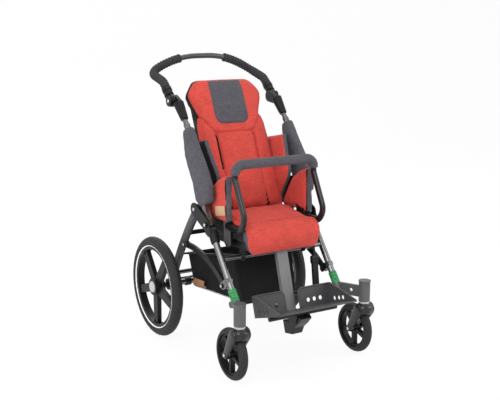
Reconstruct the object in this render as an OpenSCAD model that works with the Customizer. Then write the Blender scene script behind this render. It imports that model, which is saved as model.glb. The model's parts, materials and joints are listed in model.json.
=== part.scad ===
// Special needs buggy: tubular chassis on two large rear wheels and two swivel casters,
// a padded seat with headrest back, side supports, grab bar, footrest and folding push frame.
// Front is -Y, the child's left is +X, up is +Z. Lengths are in millimetres.

/* [Wheels] */
// Rear wheel diameter over the tyre
rear_wheel_d = 400; // [300:5:420]
// Rear tyre width
rear_tyre_w = 44; // [30:1:60]
// Radius where the rear tyre meets its rim
rear_bead_r = 162; // [120:1:168]
// Distance from the middle plane to the rear wheel centre
rear_wheel_x = 287; // [280:1:320]
// Rear axle distance behind the seat reference
axle_y = 243; // [220:1:280]
// Number of rear wheel spokes
rear_spokes = 5; // [3:1:8]
// Caster wheel diameter
caster_wheel_d = 189; // [150:1:200]
// Caster tyre width
caster_tyre_w = 34; // [26:1:36]
// Distance from the middle plane to the caster stem
caster_x = 272; // [265:1:300]
// Caster stem position along the buggy
caster_y = -375; // [-400:1:-360]
// Distance from the stem down the trail to the caster axle
caster_trail = 53; // [40:1:60]

/* [Chassis] */
// Distance from the middle plane to each side frame
side_x = 223; // [218:1:228]
// Main frame tube diameter
tube_d = 25; // [22:1:28]
// Knuckle pivot position along the buggy
pivot_y = -80; // [-90:1:-70]
// Knuckle pivot height
pivot_z = 508; // [495:1:520]
// Foot of the front tube along the buggy
foot_y = -274; // [-280:1:-265]
// Foot of the front tube above the floor
foot_z = 251; // [245:1:258]
// Width of the rear leg seen from the side
leg_w = 38; // [30:1:44]
// Thickness of the rear leg across the buggy
leg_t = 22; // [18:1:24]
// How far the rear leg bows backwards
leg_bow = 14; // [6:1:20]
// Width of the side stay
stay_w = 24; // [18:1:28]
// How far the side stay bows upwards
stay_bow = 28; // [15:1:34]
// Cross-bar diameter
crossbar_d = 18; // [14:1:20]
// Length of the coloured tube sleeve
sleeve_len = 46; // [30:1:52]

/* [Push frame] */
// Lean of the upper tube from upright
upper_lean = 25.4; // [22:0.2:28]
// Length of the upper tube from pivot to bend
upper_len = 373; // [350:1:390]
// Handle post diameter
post_d = 20; // [16:1:22]
// Handle hinge position along the buggy
hinge_y = 197; // [190:1:205]
// Handle hinge height
hinge_z = 941; // [930:1:950]
// Handle hinge disc diameter
hinge_d = 46; // [40:1:50]
// Handle tube diameter
handle_d = 22; // [18:1:25]
// Grip diameter
grip_d = 36; // [28:1:40]
// Height of the middle of the handle above its hinge
handle_rise = 161; // [140:1:170]

/* [Seat] */
// Half of the seat cushion width
seat_half = 158; // [140:1:159]
// Seat cushion thickness at the back
seat_thick = 80; // [60:1:85]
// Half of the widest part of the backrest
back_half = 163; // [150:1:165]
// Length of the backrest cushion
back_len = 505; // [450:1:515]
// Thickness of the backrest cushion at its crown
back_thick = 53; // [40:1:58]
// Lean of the backrest from upright
back_lean = 23.6; // [18:0.2:26]
// Grab bar tube diameter
bar_d = 21; // [18:1:22]
// Diameter of the grab bar's padded sleeve
bar_pad_d = 36; // [30:1:40]
// Height of the grab bar
bar_z = 737; // [730:1:760]

/* [Footrest] */
// Width of the footrest post
foot_post_w = 46; // [40:1:52]
// Thickness of the footrest post
foot_post_t = 18; // [16:1:20]
// Lean of the footrest post from upright
foot_lean = 16.5; // [12:0.5:18]
// Half of the foot tray width
tray_half = 166; // [150:1:170]
// Length of the foot tray
tray_len = 176; // [150:1:180]
// Toe-up angle of the foot tray
tray_toe_up = 17.5; // [12:0.5:20]
// Height of the heel tabs above the tray
heel_h = 74; // [50:1:80]

/* [Basket] */
// Half of the basket width
basket_half = 191; // [150:1:191]
// Half width of the basket at its narrow front end
basket_front_half = 120; // [90:1:150]
// Basket wall thickness
basket_wall = 3; // [2:0.5:5]

/* [Hidden] */
$fn = 48;
cut = 1;
slip = 0.05;
lap = 1;
gap = 0.3;
tube_r = tube_d / 2;
rear_r = rear_wheel_d / 2;
caster_r = caster_wheel_d / 2;
axle = [axle_y, rear_r];
pivot = [pivot_y, pivot_z];
foot = [foot_y, foot_z];

// Front tube, knuckle and tongue
front_dir = (foot - pivot) / norm(foot - pivot);
knuckle_drop = 30;
front_top = pivot + knuckle_drop * front_dir;
socket_len = 46;
socket_wall = 4.5;
cheek_t = 6;
cheek_r = 24;
pivot_pin_d = 12;
pivot_head_d = 21;
pivot_head_t = 5;
leg_head = [12, 550];
leg_head_w = 50;
tongue_w = 24;
tongue_len = 92;
upper_dir = [sin(upper_lean), cos(upper_lean)];
upper_bend = pivot + upper_len * upper_dir;
bend_r = 90;
post_lean = 41;
post_dir = [sin(post_lean), cos(post_lean)];
main_tail = 20;
shroud_d = 30;
shroud_len = 74;
shroud_drop = 8;
post_back = 46;
post_drop = 13;
post_end = [hinge_y - post_back, hinge_z - post_drop];

// Rear leg
leg_chord = norm(axle - leg_head);
leg_arc_r = leg_chord * leg_chord / (8 * leg_bow) + leg_bow / 2;
leg_dir = (axle - leg_head) / leg_chord;
leg_out = [-leg_dir[1], leg_dir[0]];
leg_c = (axle + leg_head) / 2 - (leg_arc_r - leg_bow) * leg_out;
leg_a0 = atan2(axle[1] - leg_c[1], axle[0] - leg_c[0]);
leg_sweep = 2 * asin(leg_chord / 2 / leg_arc_r);
boss_d = 46;
boss_in = 17;
boss_out = 17;
axle_pin_d = 12;
function leg_at(z) = leg_c[0] + sqrt(leg_arc_r * leg_arc_r - (z - leg_c[1]) * (z - leg_c[1]));

// Side stay
stay_top = [107, 393];
stay_low = [-185, 301];
stay_t = 8;
stay_bolt_d = 10;
stay_head_d = 17;
stay_head_t = 4;
lug_t = 5;
lug_gap = 1;
lug_w = 26;
stay_chord = norm(stay_top - stay_low);
stay_arc_r = stay_chord * stay_chord / (8 * stay_bow) + stay_bow / 2;
stay_dir = (stay_top - stay_low) / stay_chord;
stay_up = [-stay_dir[1], stay_dir[0]];
stay_c = (stay_top + stay_low) / 2 - (stay_arc_r - stay_bow) * stay_up;
stay_a0 = atan2(stay_top[1] - stay_c[1], stay_top[0] - stay_c[0]);
stay_sweep = 2 * asin(stay_chord / 2 / stay_arc_r);
stay_hole_d = 6;
stay_hole_shares = [0.07, 0.12, 0.17];
lug_foot = foot + ((stay_low - foot) * front_dir) * front_dir;

// Cross-bars
upper_bar = [-165, 394];
lower_bar = [-228, 240];
rear_bar_z = 252;
seat_bar_z = 440;
tie_x = 100;
ear_x = 215;
ear_t = 8;
ear_w = 24;

// Caster head and fork
head_d = 43;
head_z0 = 214;
head_h = 74;
cap_d = 46;
cap_h = 5;
stem_d = 20;
gusset_t = 10;
gusset_h = 44;
gusset_z = 226;
tie_hole_d = 14;
tie_hole_share = 0.52;
foot_wall = 3;
foot_below = 12;
foot_above = 13;
ring_h = 7.5;
ring_d = 40;
crown_r = 25;
arm_t = 9;
wheel_side_gap = 3;
wheel_top_gap = 4;
fork_tip_r = 13;
caster_axle_d = 8;
bolt_head_d = 13;
bolt_head_t = 4;
caster_bead_r = 74;
caster_rim_wall = 8;
caster_spoke_w = 14;
caster_spokes = 5;
fork_dome_r = 33;
fork_dome_drop = 5;

// Rear wheel details
rim_wall = 12;
rim_w = 30;
spoke_t = 18;
spoke_root = 38;
spoke_tip = 32;
hub_d = 68;
hub_w = 42;
bearing_d = 32;
hub_core_d = 20;
hub_cap_d = 46;
hub_cap_h = 4.5;

// Seat structure
rail_x = 130;
rail_t = 8;
rail_w = 34;
rail_front = [-198, 438];
rail_tie_y = -60;
rail_tie_d = 14;
rail_hole_d = 8;
rail_hole_shares = [0.22, 0.3, 0.38, 0.6, 0.68, 0.76];
pan_half = 150;
pan_front = -213;
pan_back = 20;
pan_t = 6;
pan_z = rail_front[1] + rail_w / 2;
back_pivot = [52, 492];
back_pin_d = 10;
back_lug_w = 26;
back_lug_t = 8;
shell_n = 18;
shell_t = 8;
back_v0 = 36;
shell_inset = 8;
strut_x = 156;
strut_w = 24;
strut_t = 12;
strut_split = 345;
strut_top = [-203, 438];
strut_rod_d = 10;
strut_clamp_h = 16;
strut_clamp_grow = 4;
bar_x = 172;
bar_y = -178;
bar_top = [bar_y, 694];
bar_bend = 34;
bar_plate_x0 = 161;
bar_plate_t = 4.7;
hip_t = 33;
hip_front = -152;
hip_low = 524;
hip_len = 164;
hip_h = 166;
thorax_x = 166;
thorax_t = 21;
thorax_v0 = 46;
thorax_len = 258;
thorax_n0 = shell_n + shell_t + gap;
thorax_d = 118;
thorax_slope = 30;

// Footrest
foot_post_wall = 2;
foot_face = [-228, 400];
foot_dir = [-sin(foot_lean), -cos(foot_lean)];
foot_in = [cos(foot_lean), -sin(foot_lean)];
foot_mid = foot_face + foot_post_t / 2 * foot_in;
foot_post_up = 22;
foot_post_down = 226;
foot_nose = 44;
hanger_up = 55;
hanger_down = 70;
tray_pivot = [-300, 190];
tray_fwd = [-cos(tray_toe_up), sin(tray_toe_up)];
tray_up = [sin(tray_toe_up), cos(tray_toe_up)];
tray_t = 5;
tray_rise = 9;
tray_wall = 4;
tray_start = 7;
tray_notch = 30;
heel_round = 20;
heel_hole_d = 16;
heel_hole_shares = [0.3, 0.5, 0.7];
wall_hole_shares = [0.2, 0.36, 0.5];
under_bar_d = 18;
under_bar_half = 146;
under_bar_y = 70;
clamp_len = 50;
clamp_drop = 34;
clamp_pin_d = 10;
tray_front_y = tray_pivot[0] + tray_len * tray_fwd[0] + (tray_rise + tray_t / 2) * tray_up[0] - tray_t / 2;

// Basket
rim_d = 8;
rim_rear_z = 340;
basket_rear_top = [leg_at(rim_rear_z) - rim_d / 2 - 2 * gap, rim_rear_z];
basket_rear_low = [127, 211];
basket_front_low = [-150, 204];
basket_front_top = [-91, 392];
basket_taper = (basket_half - basket_front_half) / (basket_rear_top[0] - basket_front_low[0]);
function basket_half_at(y) = basket_half + (y - basket_rear_top[0]) * basket_taper;
function rim_x(y) = basket_half_at(y) + (gap + rim_d / 2) / cos(atan(basket_taper));

// Brake pedal
pedal_x = 150;
pedal_collar_d = 34;
pedal_collar_w = 22;
pedal_arm_d = 12;
pedal_end = [345, 178];
pedal_pad_d = 20;

// Push handle path
arm_x = 231;
disc_t = 14;
knob_t = 9;
knob_d = 42;
hinge_pin_d = 8;
handle_start = 34;
handle_lean = 44.5;
arm_bend_share = 0.39;
corner_x = 234;
corner_back = 181;
corner_drop = 62;
shoulder_x = 112;
shoulder_inset = 2;
collar_d = 39;
collar_len = 14;
collar_start = 48;
grip_start = 64;
grip_inner_x = 100;
hinge = [hinge_y, hinge_z];
handle_dir = [cos(handle_lean), sin(handle_lean)];
corner_pt = [corner_x, hinge_y + corner_back, hinge_z + handle_rise - corner_drop];
elbow_run = arm_bend_share * corner_back / cos(handle_lean);
elbow_pt = [arm_x, hinge_y + elbow_run * handle_dir[0], hinge_z + elbow_run * handle_dir[1]];
start_pt = [arm_x, hinge_y + handle_start * handle_dir[0], hinge_z + handle_start * handle_dir[1]];
shoulder_pt = [shoulder_x, hinge_y + corner_back - shoulder_inset, hinge_z + handle_rise];
elbow_r = 60;
corner_r = 48;
shoulder_r = 370;

// The whole buggy is centred over its footprint
frame_shift = -(axle_y + rear_r + tray_front_y) / 2;
echo(frame_shift = frame_shift);

graphite = [0.29, 0.29, 0.30];
dark = [0.16, 0.16, 0.17];
rubber = [0.20, 0.20, 0.21];
silver = [0.78, 0.78, 0.80];
red = [0.84, 0.25, 0.20];
grey = [0.38, 0.38, 0.42];
green = [0.18, 0.55, 0.30];
black = [0.11, 0.11, 0.12];

// Shared helpers
function unit(v) = v / norm(v);
function at(p, x) = [x, p[0], p[1]];

module placed() {
  translate([0, frame_shift, 0]) children();
}

module on_side(side) {
  if (side > 0) {
    placed() children();
  } else {
    placed() mirror([1, 0, 0]) children();
  }
}

// A side profile in Y and Z, given thickness across the buggy
module layer(x0, x1) {
  translate([x0, 0, 0]) rotate([90, 0, 90]) linear_extrude(x1 - x0) children();
}

// Flat bar outline with round ends
module bar2d(p, q, w) {
  v = q - p;
  translate(p) circle(d = w);
  translate(q) circle(d = w);
  translate(p) rotate(atan2(v[1], v[0])) translate([0, slip - w / 2]) square([norm(v), w - 2 * slip]);
}

// Outline of a belt round two circles
module taper2d(p, r1, q, r2) {
  v = q - p;
  a = acos((r1 - r2) / norm(v));
  b = atan2(v[1], v[0]);
  translate(p) circle(r = r1);
  translate(q) circle(r = r2);
  polygon([
    p + (r1 - slip) * [cos(b + a), sin(b + a)],
    q + (r2 - slip) * [cos(b + a), sin(b + a)],
    q + (r2 - slip) * [cos(b - a), sin(b - a)],
    p + (r1 - slip) * [cos(b - a), sin(b - a)]
  ]);
}

// Round bar between two points
module rod(a, b, d) {
  v = b - a;
  translate(a) rotate([0, acos(v[2] / norm(v)), atan2(v[1], v[0])]) cylinder(h = norm(v), d = d);
}

// Round bar across the buggy
module cross_rod(p, x0, x1, d) {
  translate([x0, p[0], p[1]]) rotate([0, 90, 0]) cylinder(h = x1 - x0, d = d);
}

// Tube along corner points, bent to a radius at each inner corner
module path_tube(pts, radii, d, step = slip) {
  n = len(pts);
  dirs = [for (i = [0 : n - 2]) unit(pts[i + 1] - pts[i])];
  turns = [for (i = [0 : n - 1]) i == 0 || i == n - 1 ? 0 : acos(dirs[i - 1] * dirs[i])];
  runs = [for (i = [0 : n - 1]) radii[i] * tan(turns[i] / 2)];
  for (i = [0 : n - 2]) {
    lead = i == 0 ? 0 : lap;
    tail = i == n - 2 ? 0 : lap;
    rod(pts[i] + (runs[i] - lead) * dirs[i], pts[i + 1] - (runs[i + 1] - tail) * dirs[i], d - 2 * step);
  }
  for (i = [1 : n - 2]) {
    bend(pts[i] - runs[i] * dirs[i - 1], dirs[i - 1], dirs[i], radii[i], turns[i], d);
  }
}

module bend(start, u, v, r, turn, d) {
  w = unit(v - (u * v) * u);
  c = start + r * w;
  z = cross(-w, u);
  multmatrix([
    [-w[0], u[0], z[0], c[0]],
    [-w[1], u[1], z[1], c[1]],
    [-w[2], u[2], z[2], c[2]],
    [0, 0, 0, 1]
  ]) rotate_extrude(angle = turn) translate([r, 0]) circle(d = d);
}

// Closed soft solid from two grids of points, outer face and inner face
function grid_faces(nv, nu) = let (m = nu + 1, k = (nv + 1) * m) concat(
  [for (i = [0 : nv - 1], j = [0 : nu - 1]) [i * m + j, i * m + j + 1, (i + 1) * m + j + 1]],
  [for (i = [0 : nv - 1], j = [0 : nu - 1]) [i * m + j, (i + 1) * m + j + 1, (i + 1) * m + j]],
  [for (i = [0 : nv - 1], j = [0 : nu - 1]) [k + i * m + j, k + (i + 1) * m + j + 1, k + i * m + j + 1]],
  [for (i = [0 : nv - 1], j = [0 : nu - 1]) [k + i * m + j, k + (i + 1) * m + j, k + (i + 1) * m + j + 1]],
  [for (j = [0 : nu - 1]) [j, k + j + 1, j + 1]],
  [for (j = [0 : nu - 1]) [j, k + j, k + j + 1]],
  [for (j = [0 : nu - 1]) let (a = nv * m) [a + j, a + j + 1, k + a + j + 1]],
  [for (j = [0 : nu - 1]) let (a = nv * m) [a + j, k + a + j + 1, k + a + j]],
  [for (i = [0 : nv - 1]) let (a = i * m) [a, a + m, k + a + m]],
  [for (i = [0 : nv - 1]) let (a = i * m) [a, k + a + m, k + a]],
  [for (i = [0 : nv - 1]) let (a = i * m + nu) [a, k + a + m, a + m]],
  [for (i = [0 : nv - 1]) let (a = i * m + nu) [a, k + a, k + a + m]]
);

// Soft roll-off from 1 in the middle to 0 at the edge
function roll(t, p) = sqrt(max(0, 1 - pow(abs(t), p)));
function groove(t, w) = exp(-(t / w) * (t / w));

// Chassis
module front_tube_solid() {
  rod(at(foot, side_x), at(front_top, side_x), tube_d);
}

module front_tube(side) {
  color(graphite) on_side(side) difference() {
    union() {
      front_tube_solid();
      layer(side_x + stay_t / 2 + lug_gap, side_x + stay_t / 2 + lug_gap + lug_t)
        bar2d(lug_foot, stay_low, lug_w);
      layer(side_x - stay_t / 2 - lug_gap - lug_t, side_x - stay_t / 2 - lug_gap)
        bar2d(lug_foot, stay_low, lug_w);
    }
    stay_bolt(stay_low);
  }
}

module tube_sleeve(side) {
  color(green) on_side(side) difference() {
    sleeve_solid();
    front_tube_solid();
  }
}

module sleeve_solid() {
  low = foot - (foot_above + gap) * front_dir;
  rod(at(low, side_x), at(low - sleeve_len * front_dir, side_x), tube_d + 2 * foot_wall);
}

module caster_head(side) {
  v = [caster_x - side_x, caster_y - foot_y];
  color(graphite) on_side(side) difference() {
    union() {
      translate([caster_x, caster_y, head_z0]) cylinder(h = head_h, d = head_d);
      translate([caster_x, caster_y, head_z0 + head_h]) cylinder(h = cap_h, d = cap_d);
      rod(at(foot + foot_below * front_dir, side_x), at(foot - foot_above * front_dir, side_x),
        tube_d + 2 * foot_wall);
      translate([side_x, foot_y, gusset_z]) rotate([0, 0, atan2(v[1], v[0])])
        translate([0, gusset_t / 2, 0]) rotate([90, 0, 0]) linear_extrude(gusset_t) gusset2d(norm(v));
      layer(ear_x, ear_x + ear_t) bar2d(foot, lower_bar, ear_w);
    }
    front_tube_solid();
    sleeve_solid();
    translate([caster_x, caster_y, head_z0 - cut]) cylinder(h = head_h - cap_h + cut, d = stem_d + 2 * slip);
    tie_hole(v);
  }
}

module gusset2d(len) {
  square([len, gusset_h]);
}

module tie_hole(v) {
  translate([side_x + tie_hole_share * v[0], foot_y + tie_hole_share * v[1], gusset_z + gusset_h / 2])
    rotate([0, 0, atan2(v[1], v[0])]) rotate([90, 0, 0])
    cylinder(h = gusset_t + 2 * cut, d = tie_hole_d, center = true);
}

module cheek2d() {
  translate(pivot) circle(r = cheek_r);
  bar2d(pivot, front_top, 2 * socket_wall + tube_d);
  taper2d(pivot, cheek_r, leg_head, leg_head_w / 2);
}

module knuckle(side) {
  color(dark) on_side(side) difference() {
    union() {
      layer(side_x + leg_t / 2, side_x + leg_t / 2 + cheek_t) cheek2d();
      layer(side_x - leg_t / 2 - cheek_t, side_x - leg_t / 2) cheek2d();
      rod(at(front_top, side_x), at(front_top + socket_len * front_dir, side_x), tube_d + 2 * socket_wall);
      cross_rod(pivot, side_x - leg_t / 2 - cheek_t, side_x + leg_t / 2 + cheek_t, pivot_pin_d);
      cross_rod(pivot, side_x + leg_t / 2 + cheek_t, side_x + leg_t / 2 + cheek_t + pivot_head_t, pivot_head_d);
    }
    front_tube_solid();
  }
}

// Curved bar section swept about a point in the side plane
module side_arc(c, a0, sweep, r, w, t) {
  translate([side_x, c[0], c[1]]) rotate([90, 0, 90]) rotate([0, 0, a0])
    rotate_extrude(angle = sweep, $fn = 96) translate([r, 0]) oval2d(w, t);
}

module oval2d(w, t) {
  r = t / 2;
  translate([w / 2 - r, 0]) circle(r = r);
  translate([r - w / 2, 0]) circle(r = r);
  square([w - t, t], center = true);
}

// Flat oval bar along corner points in a side plane, bent to a radius at each inner corner
module side_band(pts, radii, x, w, t) {
  n = len(pts);
  dirs = [for (i = [0 : n - 2]) unit(pts[i + 1] - pts[i])];
  turns = [for (i = [0 : n - 1]) i == 0 || i == n - 1 ? 0 : acos(dirs[i - 1] * dirs[i])];
  runs = [for (i = [0 : n - 1]) radii[i] * tan(turns[i] / 2)];
  translate([x, 0, 0]) rotate([90, 0, 90]) {
    for (i = [0 : n - 2]) {
      lead = i == 0 ? 0 : lap;
      tail = i == n - 2 ? 0 : lap;
      from = pts[i] + (runs[i] - lead) * dirs[i];
      to = pts[i + 1] - (runs[i + 1] - tail) * dirs[i];
      translate(from) rotate([0, 0, atan2(dirs[i][1], dirs[i][0])]) rotate([90, 0, 90])
        linear_extrude(norm(to - from)) oval2d(w - 2 * slip, t - 2 * slip);
    }
    for (i = [1 : n - 2]) {
      turn = dirs[i - 1][0] * dirs[i][1] - dirs[i - 1][1] * dirs[i][0] > 0 ? 1 : -1;
      first = pts[i] - runs[i] * dirs[i - 1];
      last = pts[i] + runs[i] * dirs[i];
      c = first + turn * radii[i] * [-dirs[i - 1][1], dirs[i - 1][0]];
      from = turn > 0 ? first - c : last - c;
      translate(c) rotate([0, 0, atan2(from[1], from[0])]) rotate_extrude(angle = turns[i])
        translate([radii[i], 0]) oval2d(w, t);
    }
  }
}

module leg_solid() {
  side_arc(leg_c, leg_a0, leg_sweep, leg_arc_r, leg_w, leg_t);
  cross_rod(leg_head, side_x - leg_t / 2, side_x + leg_t / 2, leg_w);
}

module rear_leg(side) {
  root = [leg_at(stay_top[1]), stay_top[1]];
  color(graphite) on_side(side) difference() {
    union() {
      leg_solid();
      cross_rod(axle, side_x - boss_in, side_x + boss_out, boss_d);
      layer(side_x + stay_t / 2 + lug_gap, side_x + stay_t / 2 + lug_gap + lug_t)
        bar2d(root, stay_top, lug_w);
      layer(side_x - stay_t / 2 - lug_gap - lug_t, side_x - stay_t / 2 - lug_gap)
        bar2d(root, stay_top, lug_w);
    }
    stay_bolt(stay_top);
    stay_room();
    cross_rod(axle, side_x - boss_in - cut, side_x + boss_out + cut, axle_pin_d);
  }
}

// Room for the round end of the stay between its lugs
module stay_room() {
  cross_rod(stay_top, side_x - stay_t / 2 - lug_gap, side_x + stay_t / 2 + lug_gap, stay_w + 2 * lug_gap + cut);
}

module stay_bolt(p) {
  half = stay_t / 2 + lug_gap + lug_t;
  cross_rod(p, side_x - half, side_x + half, stay_bolt_d);
}

module side_stay(side) {
  half = stay_t / 2 + lug_gap + lug_t;
  color(dark) on_side(side) difference() {
    union() {
      translate([side_x - stay_t / 2, stay_c[0], stay_c[1]]) rotate([90, 0, 90]) rotate([0, 0, stay_a0])
        rotate_extrude(angle = stay_sweep, $fn = 96) translate([stay_arc_r - stay_w / 2, 0]) square([stay_w, stay_t]);
      for (p = [stay_top, stay_low]) {
        cross_rod(p, side_x - stay_t / 2, side_x + stay_t / 2, stay_w);
        stay_bolt(p);
        cross_rod(p, side_x + half, side_x + half + stay_head_t, stay_head_d);
        cross_rod(p, side_x - half - stay_head_t, side_x - half, stay_head_d);
      }
    }
    for (s = stay_hole_shares) {
      a = stay_a0 + s * stay_sweep;
      cross_rod(stay_c + stay_arc_r * [cos(a), sin(a)], side_x - stay_t, side_x + stay_t, stay_hole_d);
    }
  }
}

module rear_axle_frame() {
  rear_bar = [leg_at(rear_bar_z), rear_bar_z];
  color(graphite) placed() {
    cross_rod(axle, boss_in - side_x, side_x - boss_in, tube_d);
    cross_rod(rear_bar, leg_t / 2 - side_x, side_x - leg_t / 2, crossbar_d);
    for (s = [1, -1]) {
      layer(s * tie_x - lug_t / 2, s * tie_x + lug_t / 2) bar2d(axle, rear_bar, crossbar_d);
    }
  }
}

module axle_pins() {
  color(silver) placed() for (s = [1, -1]) {
    mirror([s < 0 ? 1 : 0, 0, 0]) axle_pin();
  }
}

module axle_pin() {
  hub_in = rear_wheel_x - hub_w / 2;
  cross_rod(axle, side_x - boss_in, rear_wheel_x + hub_w / 2 - gap, axle_pin_d);
  cross_rod(axle, side_x + boss_out, hub_in - gap, hub_core_d);
}

module front_crossbar() {
  color(graphite) placed() difference() {
    cross_rod(upper_bar, -side_x, side_x, crossbar_d);
    front_tube_solid();
    mirror([1, 0, 0]) front_tube_solid();
  }
}

module lower_crossbar() {
  color(dark) placed() cross_rod(lower_bar, -ear_x, ear_x, crossbar_d);
}

module seat_crossbar() {
  color(dark) placed() cross_rod([leg_at(seat_bar_z), seat_bar_z], leg_t / 2 - side_x, side_x - leg_t / 2, crossbar_d);
}

// Seat structure
module rail2d() {
  back = [leg_at(seat_bar_z), rail_front[1]];
  bar2d(rail_front, back, rail_w);
  bar2d([upper_bar[0], rail_front[1]], upper_bar, rail_w);
  bar2d([back_pivot[0], rail_front[1]], back_pivot, rail_w - cut);
}

module seat_rails() {
  back = [leg_at(seat_bar_z), rail_front[1]];
  color(black) placed() cross_rod([rail_tie_y, rail_front[1]], -rail_x - cut, rail_x + cut, rail_tie_d);
  color(black) placed() for (s = [1, -1]) {
    mirror([s < 0 ? 1 : 0, 0, 0]) difference() {
      union() {
        layer(rail_x, rail_x + rail_t) rail2d();
        cross_rod(back_pivot, rail_x + rail_t, rail_x + 2 * rail_t + back_lug_t, back_pin_d);
      }
      cross_rod(upper_bar, rail_x - cut, rail_x + rail_t + cut, crossbar_d);
      cross_rod([leg_at(seat_bar_z), seat_bar_z], rail_x - cut, rail_x + rail_t + cut, crossbar_d);
      for (k = rail_hole_shares) {
        cross_rod(rail_front + k * (back - rail_front), rail_x - cut, rail_x + rail_t + cut, rail_hole_d);
      }
    }
  }
}

module seat_pan() {
  color(black) placed() translate([-pan_half, pan_front, pan_z]) cube([2 * pan_half, pan_back - pan_front, pan_t]);
}

// Seat cushion: a waterfall pad that turns down over the front edge
seat_nv = 26;
seat_nu = 14;
seat_base = pan_z + pan_t + gap;
seat_drop = 46;
flap_reach = 15;
flap_low_y = pan_front - flap_reach;
flap_thick_share = 0.26;
seat_run = pan_back - flap_low_y;
seat_run_shares = [[0, 0.033], [0.6, 0.767], [0.72, 0.908], [0.79, 0.956], [0.86, 0.976], [1, 1]];
seat_z_table = [[0, seat_base], [0.79, seat_base], [0.86, seat_base - seat_drop / 5], [1, seat_base - seat_drop]];
seat_tilt_table = [[0, 0], [0.6, 0], [0.72, 22], [0.79, 48], [0.86, 78], [1, 90]];
seat_thick_shares = [[0, 0.98], [0.15, 1], [0.6, 0.79], [0.72, 0.77], [0.79, 0.55], [0.86, 0.34], [1, flap_thick_share]];
seat_width_shares = [[0, 0.98], [0.1, 1], [0.9, 1], [0.95, 0.93], [1, 0.8]];
seat_edge_share = 0.78;
seat_seam_share = 0.64;
seat_seam_depth = 4;
seat_seam_w_share = 0.02;
side_draw_share = 0.975;

function seat_rise(u, v) = seat_thick * lookup(v, seat_thick_shares)
  * (seat_edge_share + (1 - seat_edge_share) * roll(u, 4))
  - seat_seam_depth * groove(v - seat_seam_share, seat_seam_w_share);
function seat_point(u, v, rise, draw) = let (a = lookup(v, seat_tilt_table)) [
  u * seat_half * lookup(v, seat_width_shares) * draw,
  pan_back - seat_run * lookup(v, seat_run_shares) - rise * sin(a),
  lookup(v, seat_z_table) + rise * cos(a)
];

module seat_cushion() {
  outer = [for (i = [0 : seat_nv], j = [0 : seat_nu]) let (u = 2 * j / seat_nu - 1, v = i / seat_nv)
    seat_point(u, v, seat_rise(u, v), 1)];
  inner = [for (i = [0 : seat_nv], j = [0 : seat_nu]) let (u = 2 * j / seat_nu - 1, v = i / seat_nv)
    seat_point(u, v, 0, side_draw_share)];
  color(red) placed() polyhedron(concat(outer, inner), grid_faces(seat_nv, seat_nu));
}

module seat_strut() {
  low = [lower_bar[0], lower_bar[1]];
  v = unit(strut_top - low);
  mid = low + (strut_split - low[1]) / v[1] * v;
  color(dark) placed() difference() {
    union() {
      layer(strut_x - strut_w / 2, strut_x + strut_w / 2) bar2d(low, mid, strut_t);
      layer(strut_x - strut_w / 2 - strut_clamp_grow / 2, strut_x + strut_w / 2 + strut_clamp_grow / 2)
        bar2d(mid, mid + strut_clamp_h * v, strut_t + strut_clamp_grow);
      rod(at(mid, strut_x), at(strut_top, strut_x), strut_rod_d);
      cross_rod(strut_top, rail_x + rail_t, strut_x + strut_rod_d, strut_t + strut_clamp_grow);
    }
    cross_rod(lower_bar, -ear_x, ear_x, crossbar_d);
  }
}

module foot_frame(p) {
  translate([0, p[0], p[1]]) rotate([-foot_lean, 0, 0]) children();
}

module foot_hanger() {
  inner_w = foot_post_w - 2 * foot_post_wall - 2 * gap;
  inner_t = foot_post_t - 2 * foot_post_wall - 2 * gap;
  color(black) placed() intersection() {
    foot_frame(foot_mid) translate([-inner_w / 2, -inner_t / 2, -hanger_down])
      cube([inner_w, inner_t, hanger_down + 2 * hanger_up]);
    translate([-pan_half, pan_front - pan_half, 0]) cube([2 * pan_half, 2 * pan_half, pan_z]);
  }
}

// Grab bar posts with the side plate that carries the hip pad
bar_knee_z = 685;
bar_knee = [bar_top[0], bar_knee_z];
bar_front_low = [-247, 548];
bar_heel = [-215, 503];
bar_tail = [-118, 503];
bar_knee_r = 30;
bar_front_r = 44;
bar_heel_r = 40;
bar_post_w = 26;
bar_post_t = 18;
bar_plate_low = [-110, 445];
bar_plate_top = [-102, 612];
bar_plate_w = 50;
bar_foot_a = [-126, 438];
bar_foot_b = [-94, 438];
bar_foot_w = 18;
bar_plug_d = 14;
bar_plug = 14;

module bar_post(side) {
  color(black) on_side(side) difference() {
    union() {
      side_band([bar_top, bar_knee, bar_front_low, bar_heel, bar_tail],
        [0, bar_knee_r, bar_front_r, bar_heel_r, 0], bar_x, bar_post_w, bar_post_t);
      layer(bar_plate_x0, bar_plate_x0 + bar_plate_t) bar2d(bar_plate_low, bar_plate_top, bar_plate_w);
      layer(rail_x + rail_t, bar_plate_x0 + bar_plate_t) bar2d(bar_foot_a, bar_foot_b, bar_foot_w);
    }
    if (side < 0) {
      bar_plug_hole();
    }
  }
}

module bar_plug_hole() {
  translate([bar_x, bar_top[0], bar_top[1] - bar_plug]) cylinder(h = 2 * bar_plug, d = bar_plug_d + 2 * slip);
}

// Hip pad: a wedge, tall and thick at the front, falling away to the back
pad_nv = 12;
pad_nu = 14;
pad_edge_share = 0.4;
hip_face_share = 0.86;
hip_crown_share = 0.62;
hip_run_shares = [[0, 0.95], [0.07, 1], [0.41, 0.87], [0.7, 0.59], [0.88, 0.32], [1, 0.09]];

function hip_rise(u, v) = hip_t * (hip_crown_share + (1 - hip_crown_share) * roll(2 * v - 1, 6))
  * (u < 0 ? hip_face_share + (1 - hip_face_share) * roll(u, 4) : pad_edge_share + (1 - pad_edge_share) * roll(u, 4));
function hip_point(u, v, x) =
  [x, hip_front + (u + 1) / 2 * hip_len * lookup(v, hip_run_shares), hip_low + v * hip_h];

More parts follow.
